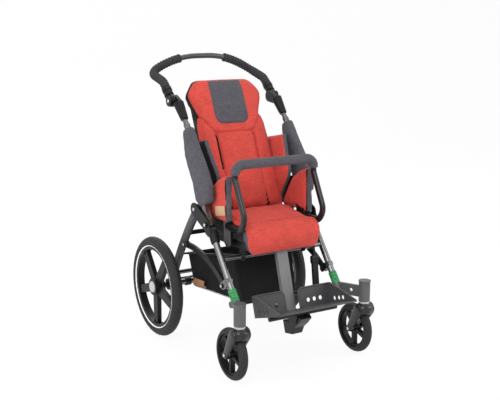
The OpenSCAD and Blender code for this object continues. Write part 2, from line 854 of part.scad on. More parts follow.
module hip_pad(side) {
  x0 = bar_plate_x0 + bar_plate_t + gap;
  outer = [for (i = [0 : pad_nv], j = [0 : pad_nu]) let (u = 2 * j / pad_nu - 1, v = i / pad_nv)
    hip_point(u, v, x0 + hip_rise(u, v))];
  inner = [for (i = [0 : pad_nv], j = [0 : pad_nu]) let (u = 2 * j / pad_nu - 1, v = i / pad_nv)
    hip_point(u, v, x0)];
  color(red) on_side(side) polyhedron(concat(outer, inner), grid_faces(pad_nv, pad_nu));
}

// Basket
module basket2d(inset) {
  polygon([
    basket_rear_top + [-inset, 0],
    basket_rear_low + [-inset, inset],
    basket_front_low + [inset, inset],
    basket_front_top + [inset, 0]
  ]);
}

// Plan outline of the basket: a trapezium, narrow at the front
module basket_plan2d(inset) {
  rear = basket_rear_top[0] + basket_half;
  front = basket_front_low[0] - basket_half;
  polygon([
    [-basket_half_at(rear) + inset, rear], [basket_half_at(rear) - inset, rear],
    [basket_half_at(front) - inset, front], [-basket_half_at(front) + inset, front]
  ]);
}

module basket() {
  over = (basket_front_top[1] - basket_front_low[1]);
  color(black) placed() difference() {
    intersection() {
      layer(-2 * basket_half, 2 * basket_half) basket2d(0);
      linear_extrude(2 * basket_front_top[1]) basket_plan2d(0);
    }
    intersection() {
      layer(-2 * basket_half, 2 * basket_half) union() {
        basket2d(basket_wall);
        polygon([
          basket_rear_top + [-basket_wall, 0],
          basket_front_top + [basket_wall, 0],
          basket_front_top + [basket_wall, over],
          basket_rear_top + [-basket_wall, over]
        ]);
      }
      linear_extrude(2 * basket_front_top[1]) basket_plan2d(basket_wall);
    }
  }
}

module basket_rim() {
  rear = [leg_at(rim_rear_z), rim_rear_z];
  color(dark) placed() difference() {
    union() {
      cross_rod(rear, leg_t / 2 - side_x, side_x - leg_t / 2, rim_d);
      for (s = [1, -1]) {
        rod(at(upper_bar, s * rim_x(upper_bar[0])), at(rear, s * rim_x(rear[0])), rim_d);
      }
    }
    cross_rod(upper_bar, -side_x, side_x, crossbar_d);
  }
}

// Push frame
function upper_pts() = [for (q = [pivot + tongue_len * upper_dir, upper_bend, upper_bend + main_tail * post_dir])
  at(q, side_x)];

module upper_tube_solid() {
  path_tube(upper_pts(), [0, bend_r, 0], tube_d);
}

module upper_body_solid() {
  post_start = upper_bend + main_tail / 2 * post_dir;
  shroud_top = post_end + shroud_drop * post_dir;
  layer(side_x - leg_t / 2 + gap, side_x + leg_t / 2 - gap)
    bar2d(pivot, pivot + (tongue_len + tube_r) * upper_dir, tongue_w);
  upper_tube_solid();
  rod(at(post_start, side_x), at(post_end, side_x), post_d);
  rod(at(shroud_top - shroud_len * post_dir, side_x), at(shroud_top, side_x), shroud_d);
  layer(side_x - disc_t, side_x) taper2d(post_end, shroud_d / 2, hinge, hinge_d / 2);
}

module upper_tube(side) {
  color(graphite) on_side(side) difference() {
    upper_body_solid();
    cross_rod(pivot, side_x - leg_t, side_x + leg_t, pivot_pin_d + 2 * slip);
    cross_rod(hinge, side_x - disc_t - cut, side_x + cut, hinge_pin_d + 2 * slip);
  }
}

// Fabric side wing: a soft bolster wrapped round the upper tube
wing_t = 37;
wing_nv = 14;
wing_nu = 8;
wing_low_share = 0.195;
wing_high_share = 1;
wing_edge_share = 0.36;
wing_front_shares = [[0, 0.145], [0.18, 0.2], [0.43, 0.172], [0.54, 0.15], [0.8, 0.096], [1, 0.058]];
wing_back_shares = [[0, 0.06], [0.12, 0.13], [0.33, 0.11], [0.54, 0.135], [0.71, 0.14], [0.88, 0.09], [1, 0.058]];

function wing_point(u, v, side) = let (
    back = [upper_dir[1], -upper_dir[0]],
    front_q = lookup(v, wing_front_shares),
    back_q = lookup(v, wing_back_shares),
    along = wing_low_share + v * (wing_high_share - wing_low_share),
    q = pivot + upper_len * (along * upper_dir + ((u + 1) / 2 * (front_q + back_q) - front_q) * back),
    rise = wing_t / 2 * (wing_edge_share + (1 - wing_edge_share) * roll(u, 4))
  ) at(q, side_x + side * rise);

module side_wing(side) {
  outer = [for (i = [0 : wing_nv], j = [0 : wing_nu]) wing_point(2 * j / wing_nu - 1, i / wing_nv, 1)];
  inner = [for (i = [0 : wing_nv], j = [0 : wing_nu]) wing_point(2 * j / wing_nu - 1, i / wing_nv, -1)];
  color(grey) on_side(side) difference() {
    polyhedron(concat(outer, inner), grid_faces(wing_nv, wing_nu));
    upper_body_solid();
  }
}

function handle_pts() = concat(
  [start_pt, elbow_pt, corner_pt, shoulder_pt],
  [for (q = [shoulder_pt, corner_pt, elbow_pt, start_pt]) [-q[0], q[1], q[2]]]
);

module handle_bow_solid() {
  path_tube(handle_pts(), [0, elbow_r, corner_r, shoulder_r, shoulder_r, corner_r, elbow_r, 0], handle_d);
}

module handle_bow() {
  color(graphite) placed() difference() {
    union() {
      handle_bow_solid();
      for (s = [1, -1]) {
        mirror([s < 0 ? 1 : 0, 0, 0]) handle_end();
      }
    }
    for (s = [1, -1]) {
      mirror([s < 0 ? 1 : 0, 0, 0]) cross_rod(hinge, side_x, side_x + disc_t + cut, hinge_pin_d);
    }
  }
}

module handle_end() {
  arm = unit(elbow_pt - start_pt);
  root = at(hinge, arm_x);
  layer(side_x + gap, side_x + disc_t) taper2d(hinge, hinge_d / 2, hinge + handle_start * handle_dir, handle_d / 2);
  rod(root + collar_start * arm, root + (collar_start + collar_len) * arm, collar_d);
}

// Foam grip: follows the bow from above its hinge, round the corner and into the arch
module grip(side) {
  low = at(hinge, arm_x) + grip_start * unit(elbow_pt - start_pt);
  far = [-shoulder_pt[0], shoulder_pt[1], shoulder_pt[2]];
  color(rubber) on_side(side) difference() {
    path_tube([low, elbow_pt, corner_pt, shoulder_pt, far], [0, elbow_r, corner_r, shoulder_r, 0], grip_d, gap);
    handle_bow_solid();
    translate([grip_inner_x - 2 * arm_x, hinge_y, hinge_z]) cube([2 * arm_x, 2 * corner_back, 2 * handle_rise]);
  }
}

module hinge_knob(side) {
  color(dark) on_side(side) {
    cross_rod(hinge, side_x + disc_t, side_x + disc_t + knob_t, knob_d);
    cross_rod(hinge, side_x - disc_t, side_x + disc_t, hinge_pin_d);
  }
}

// Backrest, drawn upright at its pivot and leant back
module back_frame() {
  placed() translate([0, back_pivot[0], back_pivot[1]]) rotate([-back_lean, 0, 0]) children();
}

back_nv = 30;
back_nu = 16;
back_edge_share = 0.6;
back_width_shares = [[0, 0.86], [0.03, 0.92], [0.55, 0.92], [0.68, 0.925], [0.725, 0.9], [0.76, 0.95],
  [0.87, 1], [0.92, 0.97], [0.97, 0.78], [1, 0.66]];
channel_u_share = 0.56;
channel_w_share = 0.035;
channel_depth = 12;
channel_top_share = 0.54;
seam_share = 0.555;
seam_w_share = 0.012;
seam_depth = 5;
insert_half_share = 0.46;
insert_low_share = 0.64;
insert_t = 5;

function back_channel(u, v) = v > channel_top_share ? 0
  : channel_depth * (groove(u - channel_u_share, channel_w_share) + groove(u + channel_u_share, channel_w_share));
function back_rise(u, v) = back_thick
  * (back_edge_share + (1 - back_edge_share) * roll(u, 4) * roll(2 * v - 1, 8))
  - back_channel(u, v) - seam_depth * groove(v - seam_share, seam_w_share);
function back_point(u, v, rise, draw) = [
  u * back_half * lookup(v, back_width_shares) * draw,
  -(shell_n + shell_t + gap + rise),
  back_v0 + v * back_len
];

module back_cushion() {
  us = [-1, -0.9, -0.75, -0.62, -0.56, -0.5, -0.36, -0.18, 0, 0.18, 0.36, 0.5, 0.56, 0.62, 0.75, 0.9, 1];
  outer = [for (i = [0 : back_nv], u = us) back_point(u, i / back_nv, back_rise(u, i / back_nv), 1)];
  inner = [for (i = [0 : back_nv], u = us) back_point(u, i / back_nv, 0, side_draw_share)];
  color(red) back_frame() polyhedron(concat(outer, inner), grid_faces(back_nv, len(us) - 1));
}

insert_nv = 14;
insert_nu = 10;
insert_round_share = 0.3;

module head_insert() {
  vs = [for (i = [0 : insert_nv]) insert_low_share + (1 - insert_low_share) * i / insert_nv];
  function half_at(v) = let (t = min(1, (v - insert_low_share) / ((1 - insert_low_share) * insert_round_share)))
    insert_half_share * (1 - insert_round_share + insert_round_share * roll(1 - t, 2));
  outer = [for (v = vs, j = [0 : insert_nu]) let (u = (2 * j / insert_nu - 1) * half_at(v))
    back_point(u, v, back_rise(u, v) + gap + insert_t, 1)];
  inner = [for (v = vs, j = [0 : insert_nu]) let (u = (2 * j / insert_nu - 1) * half_at(v))
    back_point(u, v, back_rise(u, v) + 2 * gap, 1)];
  color(grey) back_frame() polyhedron(concat(outer, inner), grid_faces(insert_nv, insert_nu));
}

module back_shell() {
  half = rail_x + rail_t + lug_gap + back_lug_t / 2;
  neck = shell_n + shell_t - back_lug_w / 2 - lap;
  color(black) back_frame() difference() {
    union() {
      translate([0, -shell_n, 0]) rotate([90, 0, 0]) linear_extrude(shell_t) shell2d(half);
      for (s = [1, -1]) {
        mirror([s < 0 ? 1 : 0, 0, 0]) {
          translate([rail_x + rail_t + lug_gap, 0, 0]) rotate([90, 0, 90]) linear_extrude(back_lug_t)
            union() {
              bar2d([0, 0], [-neck, back_v0 + back_lug_w], back_lug_w);
            }
          thorax_arm();
        }
      }
    }
    translate([-back_half, 0, 0]) rotate([0, 90, 0]) cylinder(h = 2 * back_half, d = back_pin_d + 2 * slip);
  }
}

module shell2d(half) {
  top = back_v0 + back_len - shell_inset;
  low = back_v0 + shell_inset;
  polygon([
    [-half, low], [half, low], [half, top - half / 2], [half / 2, top], [-half / 2, top], [-half, top - half / 2]
  ]);
}

// Arm that carries a side support from the back shell
module thorax_arm() {
  mid = thorax_v0 + thorax_len / 2;
  translate([rail_x, gap - shell_n - shell_t, mid - back_lug_w])
    cube([thorax_x - rail_x + thorax_t / 2, shell_t - lap, 2 * back_lug_w]);
}

thorax_depth_shares = [[0, 0.17], [0.1, 0.44], [0.2, 0.69], [0.27, 0.85], [0.4, 0.9], [1, 1]];

function thorax_rise(u, v) = thorax_t * (pad_edge_share + (1 - pad_edge_share) * roll(u, 4) * roll(2 * v - 1, 6));
function thorax_point(u, v, x) = let (reach = (u + 1) / 2 * lookup(v, thorax_depth_shares)) [
  x, -(thorax_n0 + reach * thorax_d), thorax_v0 + v * (thorax_len - reach * thorax_slope)
];

module thorax_pad(side) {
  outer = [for (i = [0 : pad_nv], j = [0 : pad_nu]) let (u = 1 - 2 * j / pad_nu, v = i / pad_nv)
    thorax_point(u, v, thorax_x + thorax_rise(u, v))];
  inner = [for (i = [0 : pad_nv], j = [0 : pad_nu]) let (u = 1 - 2 * j / pad_nu, v = i / pad_nv)
    thorax_point(u, v, thorax_x)];
  color(red) back_frame() mirror([side < 0 ? 1 : 0, 0, 0])
    polyhedron(concat(outer, inner), grid_faces(pad_nv, pad_nu));
}

// Grab bar
function grab_pts() = [
  [bar_x, bar_top[0], bar_top[1] + gap], [bar_x, bar_y, bar_z],
  [-bar_x, bar_y, bar_z], [-bar_x, bar_top[0], bar_top[1] + gap]
];

module grab_bar_solid() {
  path_tube(grab_pts(), [0, bar_bend, bar_bend, 0], bar_d);
}

module grab_bar() {
  color(black) placed() union() {
    grab_bar_solid();
    translate([-bar_x, bar_top[0], bar_top[1] - bar_plug + gap]) cylinder(h = bar_plug + cut, d = bar_plug_d);
  }
}

module grab_bar_sleeve() {
  a = unit([bar_x, bar_y, bar_z] - [bar_x, bar_top[0], bar_top[1]]);
  low = [bar_x, bar_top[0], bar_top[1]] + bar_plug / 2 * a;
  color(grey) placed() difference() {
    path_tube([low, [bar_x, bar_y, bar_z], [-bar_x, bar_y, bar_z], [-low[0], low[1], low[2]]],
      [0, bar_bend, bar_bend, 0], bar_pad_d);
    grab_bar_solid();
  }
}

// Footrest
module foot_post() {
  low = foot_mid + (foot_post_down - foot_post_t) * foot_dir;
  pin_half = foot_post_w / 2 + gap + lug_t;
  color(graphite) placed() {
    difference() {
      union() {
        foot_frame(foot_mid) translate([-foot_post_w / 2, -foot_post_t / 2, -foot_post_down])
          cube([foot_post_w, foot_post_t, foot_post_down + foot_post_up]);
        layer(lap - foot_post_w / 2, foot_post_w / 2 - lap) bar2d(low, tray_pivot, foot_post_t);
      }
      foot_frame(foot_mid)
        translate([foot_post_wall - foot_post_w / 2, foot_post_wall - foot_post_t / 2, foot_nose - foot_post_down])
        cube([foot_post_w - 2 * foot_post_wall, foot_post_t - 2 * foot_post_wall, foot_post_down + foot_post_up]);
    }
    cross_rod(tray_pivot, -pin_half, pin_half, clamp_pin_d);
    for (x = [-pin_half - bolt_head_t, pin_half]) {
      cross_rod(tray_pivot, x, x + bolt_head_t, clamp_pin_d + bolt_head_t);
    }
  }
}

module tray_frame() {
  placed() translate([0, tray_pivot[0], tray_pivot[1]]) rotate([-tray_toe_up, 0, 0]) children();
}

// Side wall outline: tall at the heel, tapering to the front edge
module tray_wall2d() {
  top = tray_rise + tray_t + heel_h;
  polygon([
    [-tray_start, tray_rise], [-tray_len, tray_rise], [-tray_len, tray_rise + tray_t],
    [-tray_start - tray_wall - heel_round, top], [-tray_start, top]
  ]);
}

module heel2d() {
  w = tray_half - tray_notch;
  translate([tray_notch, 0]) square([w, heel_h - heel_round]);
  translate([tray_notch + heel_round, 0]) square([w - heel_round, heel_h]);
  translate([tray_notch + heel_round, heel_h - heel_round]) circle(r = heel_round);
}

module foot_tray() {
  top = tray_rise + tray_t;
  color(dark) tray_frame() difference() {
    union() {
      translate([-tray_half, -tray_len, tray_rise]) cube([2 * tray_half, tray_len - tray_start, tray_t]);
      translate([-tray_half, -tray_len, tray_rise + tray_t / 2]) rotate([0, 90, 0])
        cylinder(h = 2 * tray_half, d = tray_t);
      for (s = [1, -1]) {
        mirror([s < 0 ? 1 : 0, 0, 0]) {
          translate([tray_half - tray_wall, 0, 0]) rotate([90, 0, 90]) linear_extrude(tray_wall) tray_wall2d();
          translate([0, -tray_start, top]) rotate([90, 0, 0]) linear_extrude(tray_wall) heel2d();
        }
      }
    }
    for (s = [1, -1], k = heel_hole_shares) {
      translate([s * (tray_notch + k * (tray_half - tray_notch)), -tray_start, top + heel_h / 3])
        rotate([90, 0, 0]) cylinder(h = 4 * tray_wall, d = heel_hole_d, center = true);
    }
    for (k = wall_hole_shares) {
      translate([-tray_half - cut, -tray_start - tray_wall - k * tray_len, top + heel_h / 5]) rotate([0, 90, 0])
        cylinder(h = 2 * tray_half + 2 * cut, d = heel_hole_d);
    }
  }
}

module foot_tray_bar() {
  color(black) tray_frame() difference() {
    union() {
      translate([-under_bar_half, -under_bar_y, tray_rise - under_bar_d / 2]) rotate([0, 90, 0])
        cylinder(h = 2 * under_bar_half, d = under_bar_d);
      for (s = [1, -1]) {
        translate([s * (foot_post_w / 2 + lug_t / 2 + gap) - lug_t / 2, 0, 0]) rotate([90, 0, 90]) linear_extrude(lug_t)
          tray_lug2d();
      }
      translate([-foot_post_w / 2 - gap, -clamp_len, -clamp_drop])
        cube([foot_post_w + 2 * gap, clamp_len / 2, tray_rise + clamp_drop]);
    }
    translate([-tray_half, 0, 0]) rotate([0, 90, 0]) cylinder(h = 2 * tray_half, d = clamp_pin_d + 2 * slip);
  }
}

module tray_lug2d() {
  polygon([
    [-under_bar_y, tray_rise], [-tray_start, tray_rise], [clamp_pin_d, 0],
    [0, -clamp_pin_d], [-clamp_len / 2, -clamp_drop], [-clamp_len, -clamp_drop], [-under_bar_y, -clamp_pin_d]
  ]);
}

// Foot brake bar that turns on the rear axle tube
module brake_pedal() {
  color(black) placed() difference() {
    union() {
      for (s = [1, -1]) {
        cross_rod(axle, s * pedal_x - pedal_collar_w / 2, s * pedal_x + pedal_collar_w / 2, pedal_collar_d);
        rod(at(axle, s * pedal_x), at(pedal_end, s * pedal_x), pedal_arm_d);
      }
      cross_rod(pedal_end, -pedal_x - pedal_collar_w / 2, pedal_x + pedal_collar_w / 2, pedal_pad_d);
    }
    cross_rod(axle, -side_x, side_x, tube_d + 2 * slip);
  }
}

// Rear wheels
module wheel_frame(side) {
  on_side(side) translate([rear_wheel_x, axle_y, rear_r]) rotate([0, 90, 0]) children();
}

module rear_tyre(side) {
  c = rear_r - rear_tyre_w / 2;
  color(rubber) wheel_frame(side) rotate_extrude() intersection() {
    translate([c, 0]) circle(d = rear_tyre_w);
    translate([rear_bead_r, -rear_tyre_w]) square([rear_tyre_w, 2 * rear_tyre_w]);
  }
}

module rear_rim(side) {
  color(dark) wheel_frame(side) difference() {
    union() {
      rotate_extrude() translate([rear_bead_r - rim_wall, -rim_w / 2]) square([rim_wall, rim_w]);
      for (k = [0 : rear_spokes - 1]) {
        rotate([0, 0, 360 * k / rear_spokes]) translate([0, 0, -spoke_t / 2]) linear_extrude(spoke_t)
          polygon([[hub_core_d, -spoke_root / 2], [rear_bead_r - rim_wall / 2, -spoke_tip / 2],
            [rear_bead_r - rim_wall / 2, spoke_tip / 2], [hub_core_d, spoke_root / 2]]);
      }
      cylinder(h = hub_w, d = hub_d, center = true);
    }
    cylinder(h = 2 * hub_w, d = bearing_d, center = true);
  }
}

// Bearings, spacer and outer cap inside the rear hub
module rear_hub(side) {
  color(silver) wheel_frame(side) difference() {
    union() {
      cylinder(h = hub_w, d = bearing_d, center = true);
      translate([0, 0, hub_w / 2]) cylinder(h = hub_cap_h, d1 = hub_cap_d, d2 = hub_cap_d - hub_cap_h);
    }
    translate([0, 0, -hub_w / 2 - cut]) cylinder(h = hub_w + cut, d = axle_pin_d + 2 * slip);
  }
}

// Casters
module caster_frame(side) {
  on_side(side) translate([caster_x, caster_y + caster_trail, caster_r]) rotate([0, 90, 0]) children();
}

module caster_fork(side) {
  half = caster_tyre_w / 2 + wheel_side_gap + arm_t;
  crown_c = [caster_y, head_z0 - gap - ring_h - crown_r];
  tip = [caster_y + caster_trail, caster_r];
  color(black) on_side(side) {
    difference() {
      union() {
        layer(caster_x - half, caster_x + half) translate(crown_c) circle(r = crown_r);
        for (x = [caster_x - half, caster_x + half - arm_t]) {
          layer(x, x + arm_t) taper2d(crown_c, crown_r, tip, fork_tip_r);
        }
        translate([caster_x, caster_y, crown_c[1]]) cylinder(h = crown_r + ring_h, d = ring_d);
        translate([caster_x, caster_y, crown_c[1] - fork_dome_drop])
          cylinder(h = crown_r + fork_dome_drop - cut, r1 = fork_dome_r, r2 = ring_d / 2 + cut);
      }
      cross_rod(tip, caster_x - half + arm_t, caster_x + half - arm_t, caster_wheel_d + 2 * wheel_top_gap);
    }
    cross_rod(tip, caster_x - half - bolt_head_t, caster_x + half + bolt_head_t, caster_axle_d);
    for (x = [caster_x - half - bolt_head_t, caster_x + half]) {
      cross_rod(tip, x, x + bolt_head_t, bolt_head_d);
    }
    translate([caster_x, caster_y, crown_c[1] + crown_r]) cylinder(h = ring_h + head_h - 2 * cap_h, d = stem_d);
  }
}

module caster_wheel(side) {
  color(dark) caster_frame(side) difference() {
    union() {
      rotate_extrude() translate([caster_bead_r - caster_rim_wall, -caster_tyre_w / 3])
        square([caster_rim_wall, 2 * caster_tyre_w / 3]);
      for (k = [0 : caster_spokes - 1]) {
        rotate([0, 0, 360 * k / caster_spokes]) translate([0, -caster_spoke_w / 2, -spoke_t / 2])
          cube([caster_bead_r - caster_rim_wall / 2, caster_spoke_w, spoke_t]);
      }
      cylinder(h = caster_tyre_w + wheel_side_gap, d = bearing_d, center = true);
    }
    cylinder(h = 2 * caster_tyre_w, d = caster_axle_d + 2 * slip, center = true);
  }
}

module caster_tyre(side) {
  c = caster_r - caster_tyre_w / 2;
  color(rubber) caster_frame(side) rotate_extrude() intersection() {
    translate([c, 0]) circle(d = caster_tyre_w);
    translate([caster_bead_r, -caster_tyre_w]) square([caster_tyre_w, 2 * caster_tyre_w]);
  }
}

front_tube(1);  // front_tube_left
front_tube(-1);  // front_tube_right
tube_sleeve(1);  // tube_sleeve_left
tube_sleeve(-1);  // tube_sleeve_right
caster_head(1);  // caster_head_left
caster_head(-1);  // caster_head_right
knuckle(1);  // knuckle_left
knuckle(-1);  // knuckle_right
rear_leg(1);  // rear_leg_left
rear_leg(-1);  // rear_leg_right
side_stay(1);  // side_stay_left
side_stay(-1);  // side_stay_right
rear_axle_frame();
axle_pins();
front_crossbar();
lower_crossbar();
seat_crossbar();
seat_rails();
seat_pan();
seat_cushion();
seat_strut();
foot_hanger();
bar_post(1);  // bar_post_left
bar_post(-1);  // bar_post_right
hip_pad(1);  // hip_pad_left
hip_pad(-1);  // hip_pad_right
basket_rim();
basket();
upper_tube(1);  // upper_tube_left
upper_tube(-1);  // upper_tube_right
side_wing(1);  // side_wing_left
side_wing(-1);  // side_wing_right
handle_bow();
grip(1);  // grip_left
grip(-1);  // grip_right
hinge_knob(1);  // hinge_knob_left
hinge_knob(-1);  // hinge_knob_right
back_shell();
back_cushion();
head_insert();
thorax_pad(1);  // thorax_pad_left
thorax_pad(-1);  // thorax_pad_right
grab_bar();
grab_bar_sleeve();
foot_post();
foot_tray();
foot_tray_bar();
brake_pedal();
rear_tyre(1);  // rear_tyre_left
rear_rim(1);  // rear_rim_left
rear_hub(1);  // rear_hub_left
rear_tyre(-1);  // rear_tyre_right
rear_rim(-1);  // rear_rim_right
rear_hub(-1);  // rear_hub_right
caster_fork(1);  // caster_fork_left
caster_wheel(1);  // caster_wheel_left
caster_tyre(1);  // caster_tyre_left
caster_fork(-1);  // caster_fork_right
caster_wheel(-1);  // caster_wheel_right
caster_tyre(-1);  // caster_tyre_right
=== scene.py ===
import json
import math

import bmesh
import bpy
import numpy as np
from mathutils import Matrix, Vector


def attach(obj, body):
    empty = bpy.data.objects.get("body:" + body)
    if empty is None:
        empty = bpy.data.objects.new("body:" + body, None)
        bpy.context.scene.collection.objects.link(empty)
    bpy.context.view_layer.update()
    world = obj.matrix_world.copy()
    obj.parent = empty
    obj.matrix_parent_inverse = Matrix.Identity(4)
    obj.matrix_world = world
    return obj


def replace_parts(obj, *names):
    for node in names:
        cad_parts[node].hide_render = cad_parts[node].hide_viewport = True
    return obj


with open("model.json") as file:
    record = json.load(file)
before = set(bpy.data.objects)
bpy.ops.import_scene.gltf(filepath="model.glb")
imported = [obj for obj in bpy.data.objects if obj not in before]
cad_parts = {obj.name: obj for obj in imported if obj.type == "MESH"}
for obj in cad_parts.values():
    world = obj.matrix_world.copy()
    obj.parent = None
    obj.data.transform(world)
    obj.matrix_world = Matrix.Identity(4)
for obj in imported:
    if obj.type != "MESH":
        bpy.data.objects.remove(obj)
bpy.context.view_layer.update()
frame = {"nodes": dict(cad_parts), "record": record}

NODES = frame["nodes"]
MM = 0.001
# the row frame's origin lies this far in front of the drawing's, in metres
SHIFT = 0.011948
SIDES = ((1, "l"), (-1, "r"))
FACES = ((1, "out"), (-1, "in"))

# Places taken from the drawing, in millimetres: X alone, and Y with Z
SIDE_X, ARM_X, WHEEL_X, CASTER_X = 223.0, 231.0, 287.0, 272.0
PIVOT = Vector((-80.0, 508.0))
HINGE = Vector((197.0, 941.0))
AXLE = Vector((243.0, 200.0))
CASTER_AXLE = Vector((-322.0, 94.5))
CASTER_CROWN = Vector((-375.0, 181.4))
ARM_LEAN, POST_LEAN = math.radians(44.5), math.radians(41)


def at(x, y, z):
    """A point in the drawing's millimetres, in the row frame in metres."""
    return Vector((x * MM, y * MM + SHIFT, z * MM))


def place(name, data):
    """A new object in the scene."""
    o = bpy.data.objects.new(name, data)
    bpy.context.scene.collection.objects.link(o)
    return o


# Materials


def nodes_of(name):
    """A new material with its node tree and its main shader."""
    m = bpy.data.materials.new(name)
    m.use_nodes = True
    t = m.node_tree
    return m, t, t.nodes["Principled BSDF"]


def add(t, kind, **values):
    """A new node, whose values are inputs where it has inputs of that name."""
    n = t.nodes.new(kind)
    for k, v in values.items():
        if k in n.inputs:
            n.inputs[k].default_value = v
        else:
            setattr(n, k, v)
    return n


def ramp(t, source, low, high, lo_at=0.3, hi_at=0.7):
    r = add(t, "ShaderNodeValToRGB")
    for e, color, share in zip(r.color_ramp.elements, (low, high), (lo_at, hi_at)):
        e.position = share
        e.color = (*color, 1)
    t.links.new(source, r.inputs[0])
    return r.outputs[0]


def spread(t, source, low, high):
    r = add(t, "ShaderNodeMapRange", **{"To Min": low, "To Max": high})
    t.links.new(source, r.inputs["Value"])
    return r.outputs["Result"]


def blend(t, share, low, high, kind="RGBA"):
    n = add(t, "ShaderNodeMix", data_type=kind)
    a, b, out = (6, 7, 2) if kind == "RGBA" else (2, 3, 0)
    t.links.new(share, n.inputs[0])
    t.links.new(low, n.inputs[a])
    t.links.new(high, n.inputs[b])
    return n.outputs[out]


def shade(c, k):
    return tuple(min(1.0, v * k) for v in c)


def hard(name, color, rough, metal=0.0, coat=0.0, vary=0.07, grain=220.0, bump=0.02, bevel=1.2, scratch=0.06,
         gloss=0.5, blotch=14.0, above=None):
    """Painted, moulded or bare metal surface: mottled tone, worn roughness, fine grain and eased edges.

    above gives another colour, roughness and metal share over a height in metres.
    """
    m, t, b = nodes_of(name)
    link = t.links.new
    tc = add(t, "ShaderNodeTexCoord")
    big = add(t, "ShaderNodeTexNoise", Scale=blotch, Detail=3.0)
    fine = add(t, "ShaderNodeTexNoise", Scale=grain, Detail=2.0)
    link(tc.outputs["Object"], big.inputs["Vector"])
    link(tc.outputs["Object"], fine.inputs["Vector"])

    def look(c, r):
        tone = ramp(t, big.outputs["Fac"], shade(c, 1 - vary), shade(c, 1 + vary))
        return tone, spread(t, big.outputs["Fac"], max(0.04, r - scratch), min(1, r + scratch))

    tone, wear = look(color, rough)
    b.inputs["Metallic"].default_value = metal
    if above:
        height, color2, rough2, metal2 = above
        split = add(t, "ShaderNodeSeparateXYZ")
        link(tc.outputs["Object"], split.inputs[0])
        over = add(t, "ShaderNodeMath", operation="GREATER_THAN")
        over.inputs[1].default_value = height
        link(split.outputs["Z"], over.inputs[0])
        tone2, wear2 = look(color2, rough2)
        tone = blend(t, over.outputs[0], tone, tone2)
        wear = blend(t, over.outputs[0], wear, wear2, "FLOAT")
        link(spread(t, over.outputs[0], metal, metal2), b.inputs["Metallic"])
    link(tone, b.inputs["Base Color"])
    link(wear, b.inputs["Roughness"])
    b.inputs["Specular IOR Level"].default_value = gloss
    b.inputs["Coat Weight"].default_value = coat
    b.inputs["Coat Roughness"].default_value = 0.12
    bp = add(t, "ShaderNodeBump", Strength=bump, Distance=0.001)
    link(fine.outputs["Fac"], bp.inputs["Height"])
    if bevel:
        bv = add(t, "ShaderNodeBevel", samples=4, Radius=bevel * MM)
        link(bv.outputs["Normal"], bp.inputs["Normal"])
    link(bp.outputs["Normal"], b.inputs["Normal"])
    return m


def cloth_mat(name, color, fleck, thread=1.5, rough=0.9, sheen=0.25, strength=0.5, mottling=0.5, streak=0.0):
    """Woven cloth: two sets of threads, heather flecks and slow shading of the pile."""
    m, t, b = nodes_of(name)
    link = t.links.new
    tc = add(t, "ShaderNodeTexCoord")
    bands = {"Scale": 0.314 / (thread * MM), "Distortion": 1.2, "wave_type": "BANDS"}
    warp = add(t, "ShaderNodeTexWave", bands_direction="DIAGONAL", **bands)
    weft = add(t, "ShaderNodeTexWave", bands_direction="Z", **bands)
    weft.inputs["Detail Scale"].default_value = 2.0
    flecks = add(t, "ShaderNodeTexNoise", Scale=520.0, Detail=4.0, Roughness=0.7)
    slow = add(t, "ShaderNodeTexNoise", Scale=24.0, Detail=3.0)
    stretch = add(t, "ShaderNodeMapping", Scale=(1, 1, 0.35))
    link(tc.outputs["Object"], stretch.inputs["Vector"])
    link(stretch.outputs["Vector"], flecks.inputs["Vector"])
    for n in (warp, weft, slow):
        link(tc.outputs["Object"], n.inputs["Vector"])
    yarn = add(t, "ShaderNodeTexNoise", Scale=1.0, Detail=3.0, Roughness=0.6)
    along = add(t, "ShaderNodeMapping", Scale=(40, 290, 290))
    link(tc.outputs["Object"], along.inputs["Vector"])
    link(along.outputs["Vector"], yarn.inputs["Vector"])
    tone = ramp(t, flecks.outputs["Fac"], fleck, color, 0.36, 0.58)
    streaks = ramp(t, yarn.outputs["Fac"], (1 - streak,) * 3, (1 + 0.6 * streak,) * 3, 0.34, 0.66)
    pile = ramp(t, slow.outputs["Fac"], (1 - mottling * 0.22,) * 3, (1.0,) * 3, 0.35, 0.65)
    for layer in (streaks, pile):
        mix = add(t, "ShaderNodeMix", data_type="RGBA", blend_type="MULTIPLY")
        mix.inputs[0].default_value = 1.0
        link(tone, mix.inputs[6])
        link(layer, mix.inputs[7])
        tone = mix.outputs[2]
    link(tone, b.inputs["Base Color"])
    b.inputs["Roughness"].default_value = rough
    b.inputs["Sheen Weight"].default_value = sheen
    b.inputs["Sheen Roughness"].default_value = 0.5
    b.inputs["Specular IOR Level"].default_value = 0.25
    over = add(t, "ShaderNodeMath", operation="MAXIMUM")
    link(warp.outputs["Fac"], over.inputs[0])
    link(weft.outputs["Fac"], over.inputs[1])
    bp = add(t, "ShaderNodeBump", Strength=strength, Distance=0.0006)
    link(over.outputs[0], bp.inputs["Height"])
    link(bp.outputs["Normal"], b.inputs["Normal"])
    return m


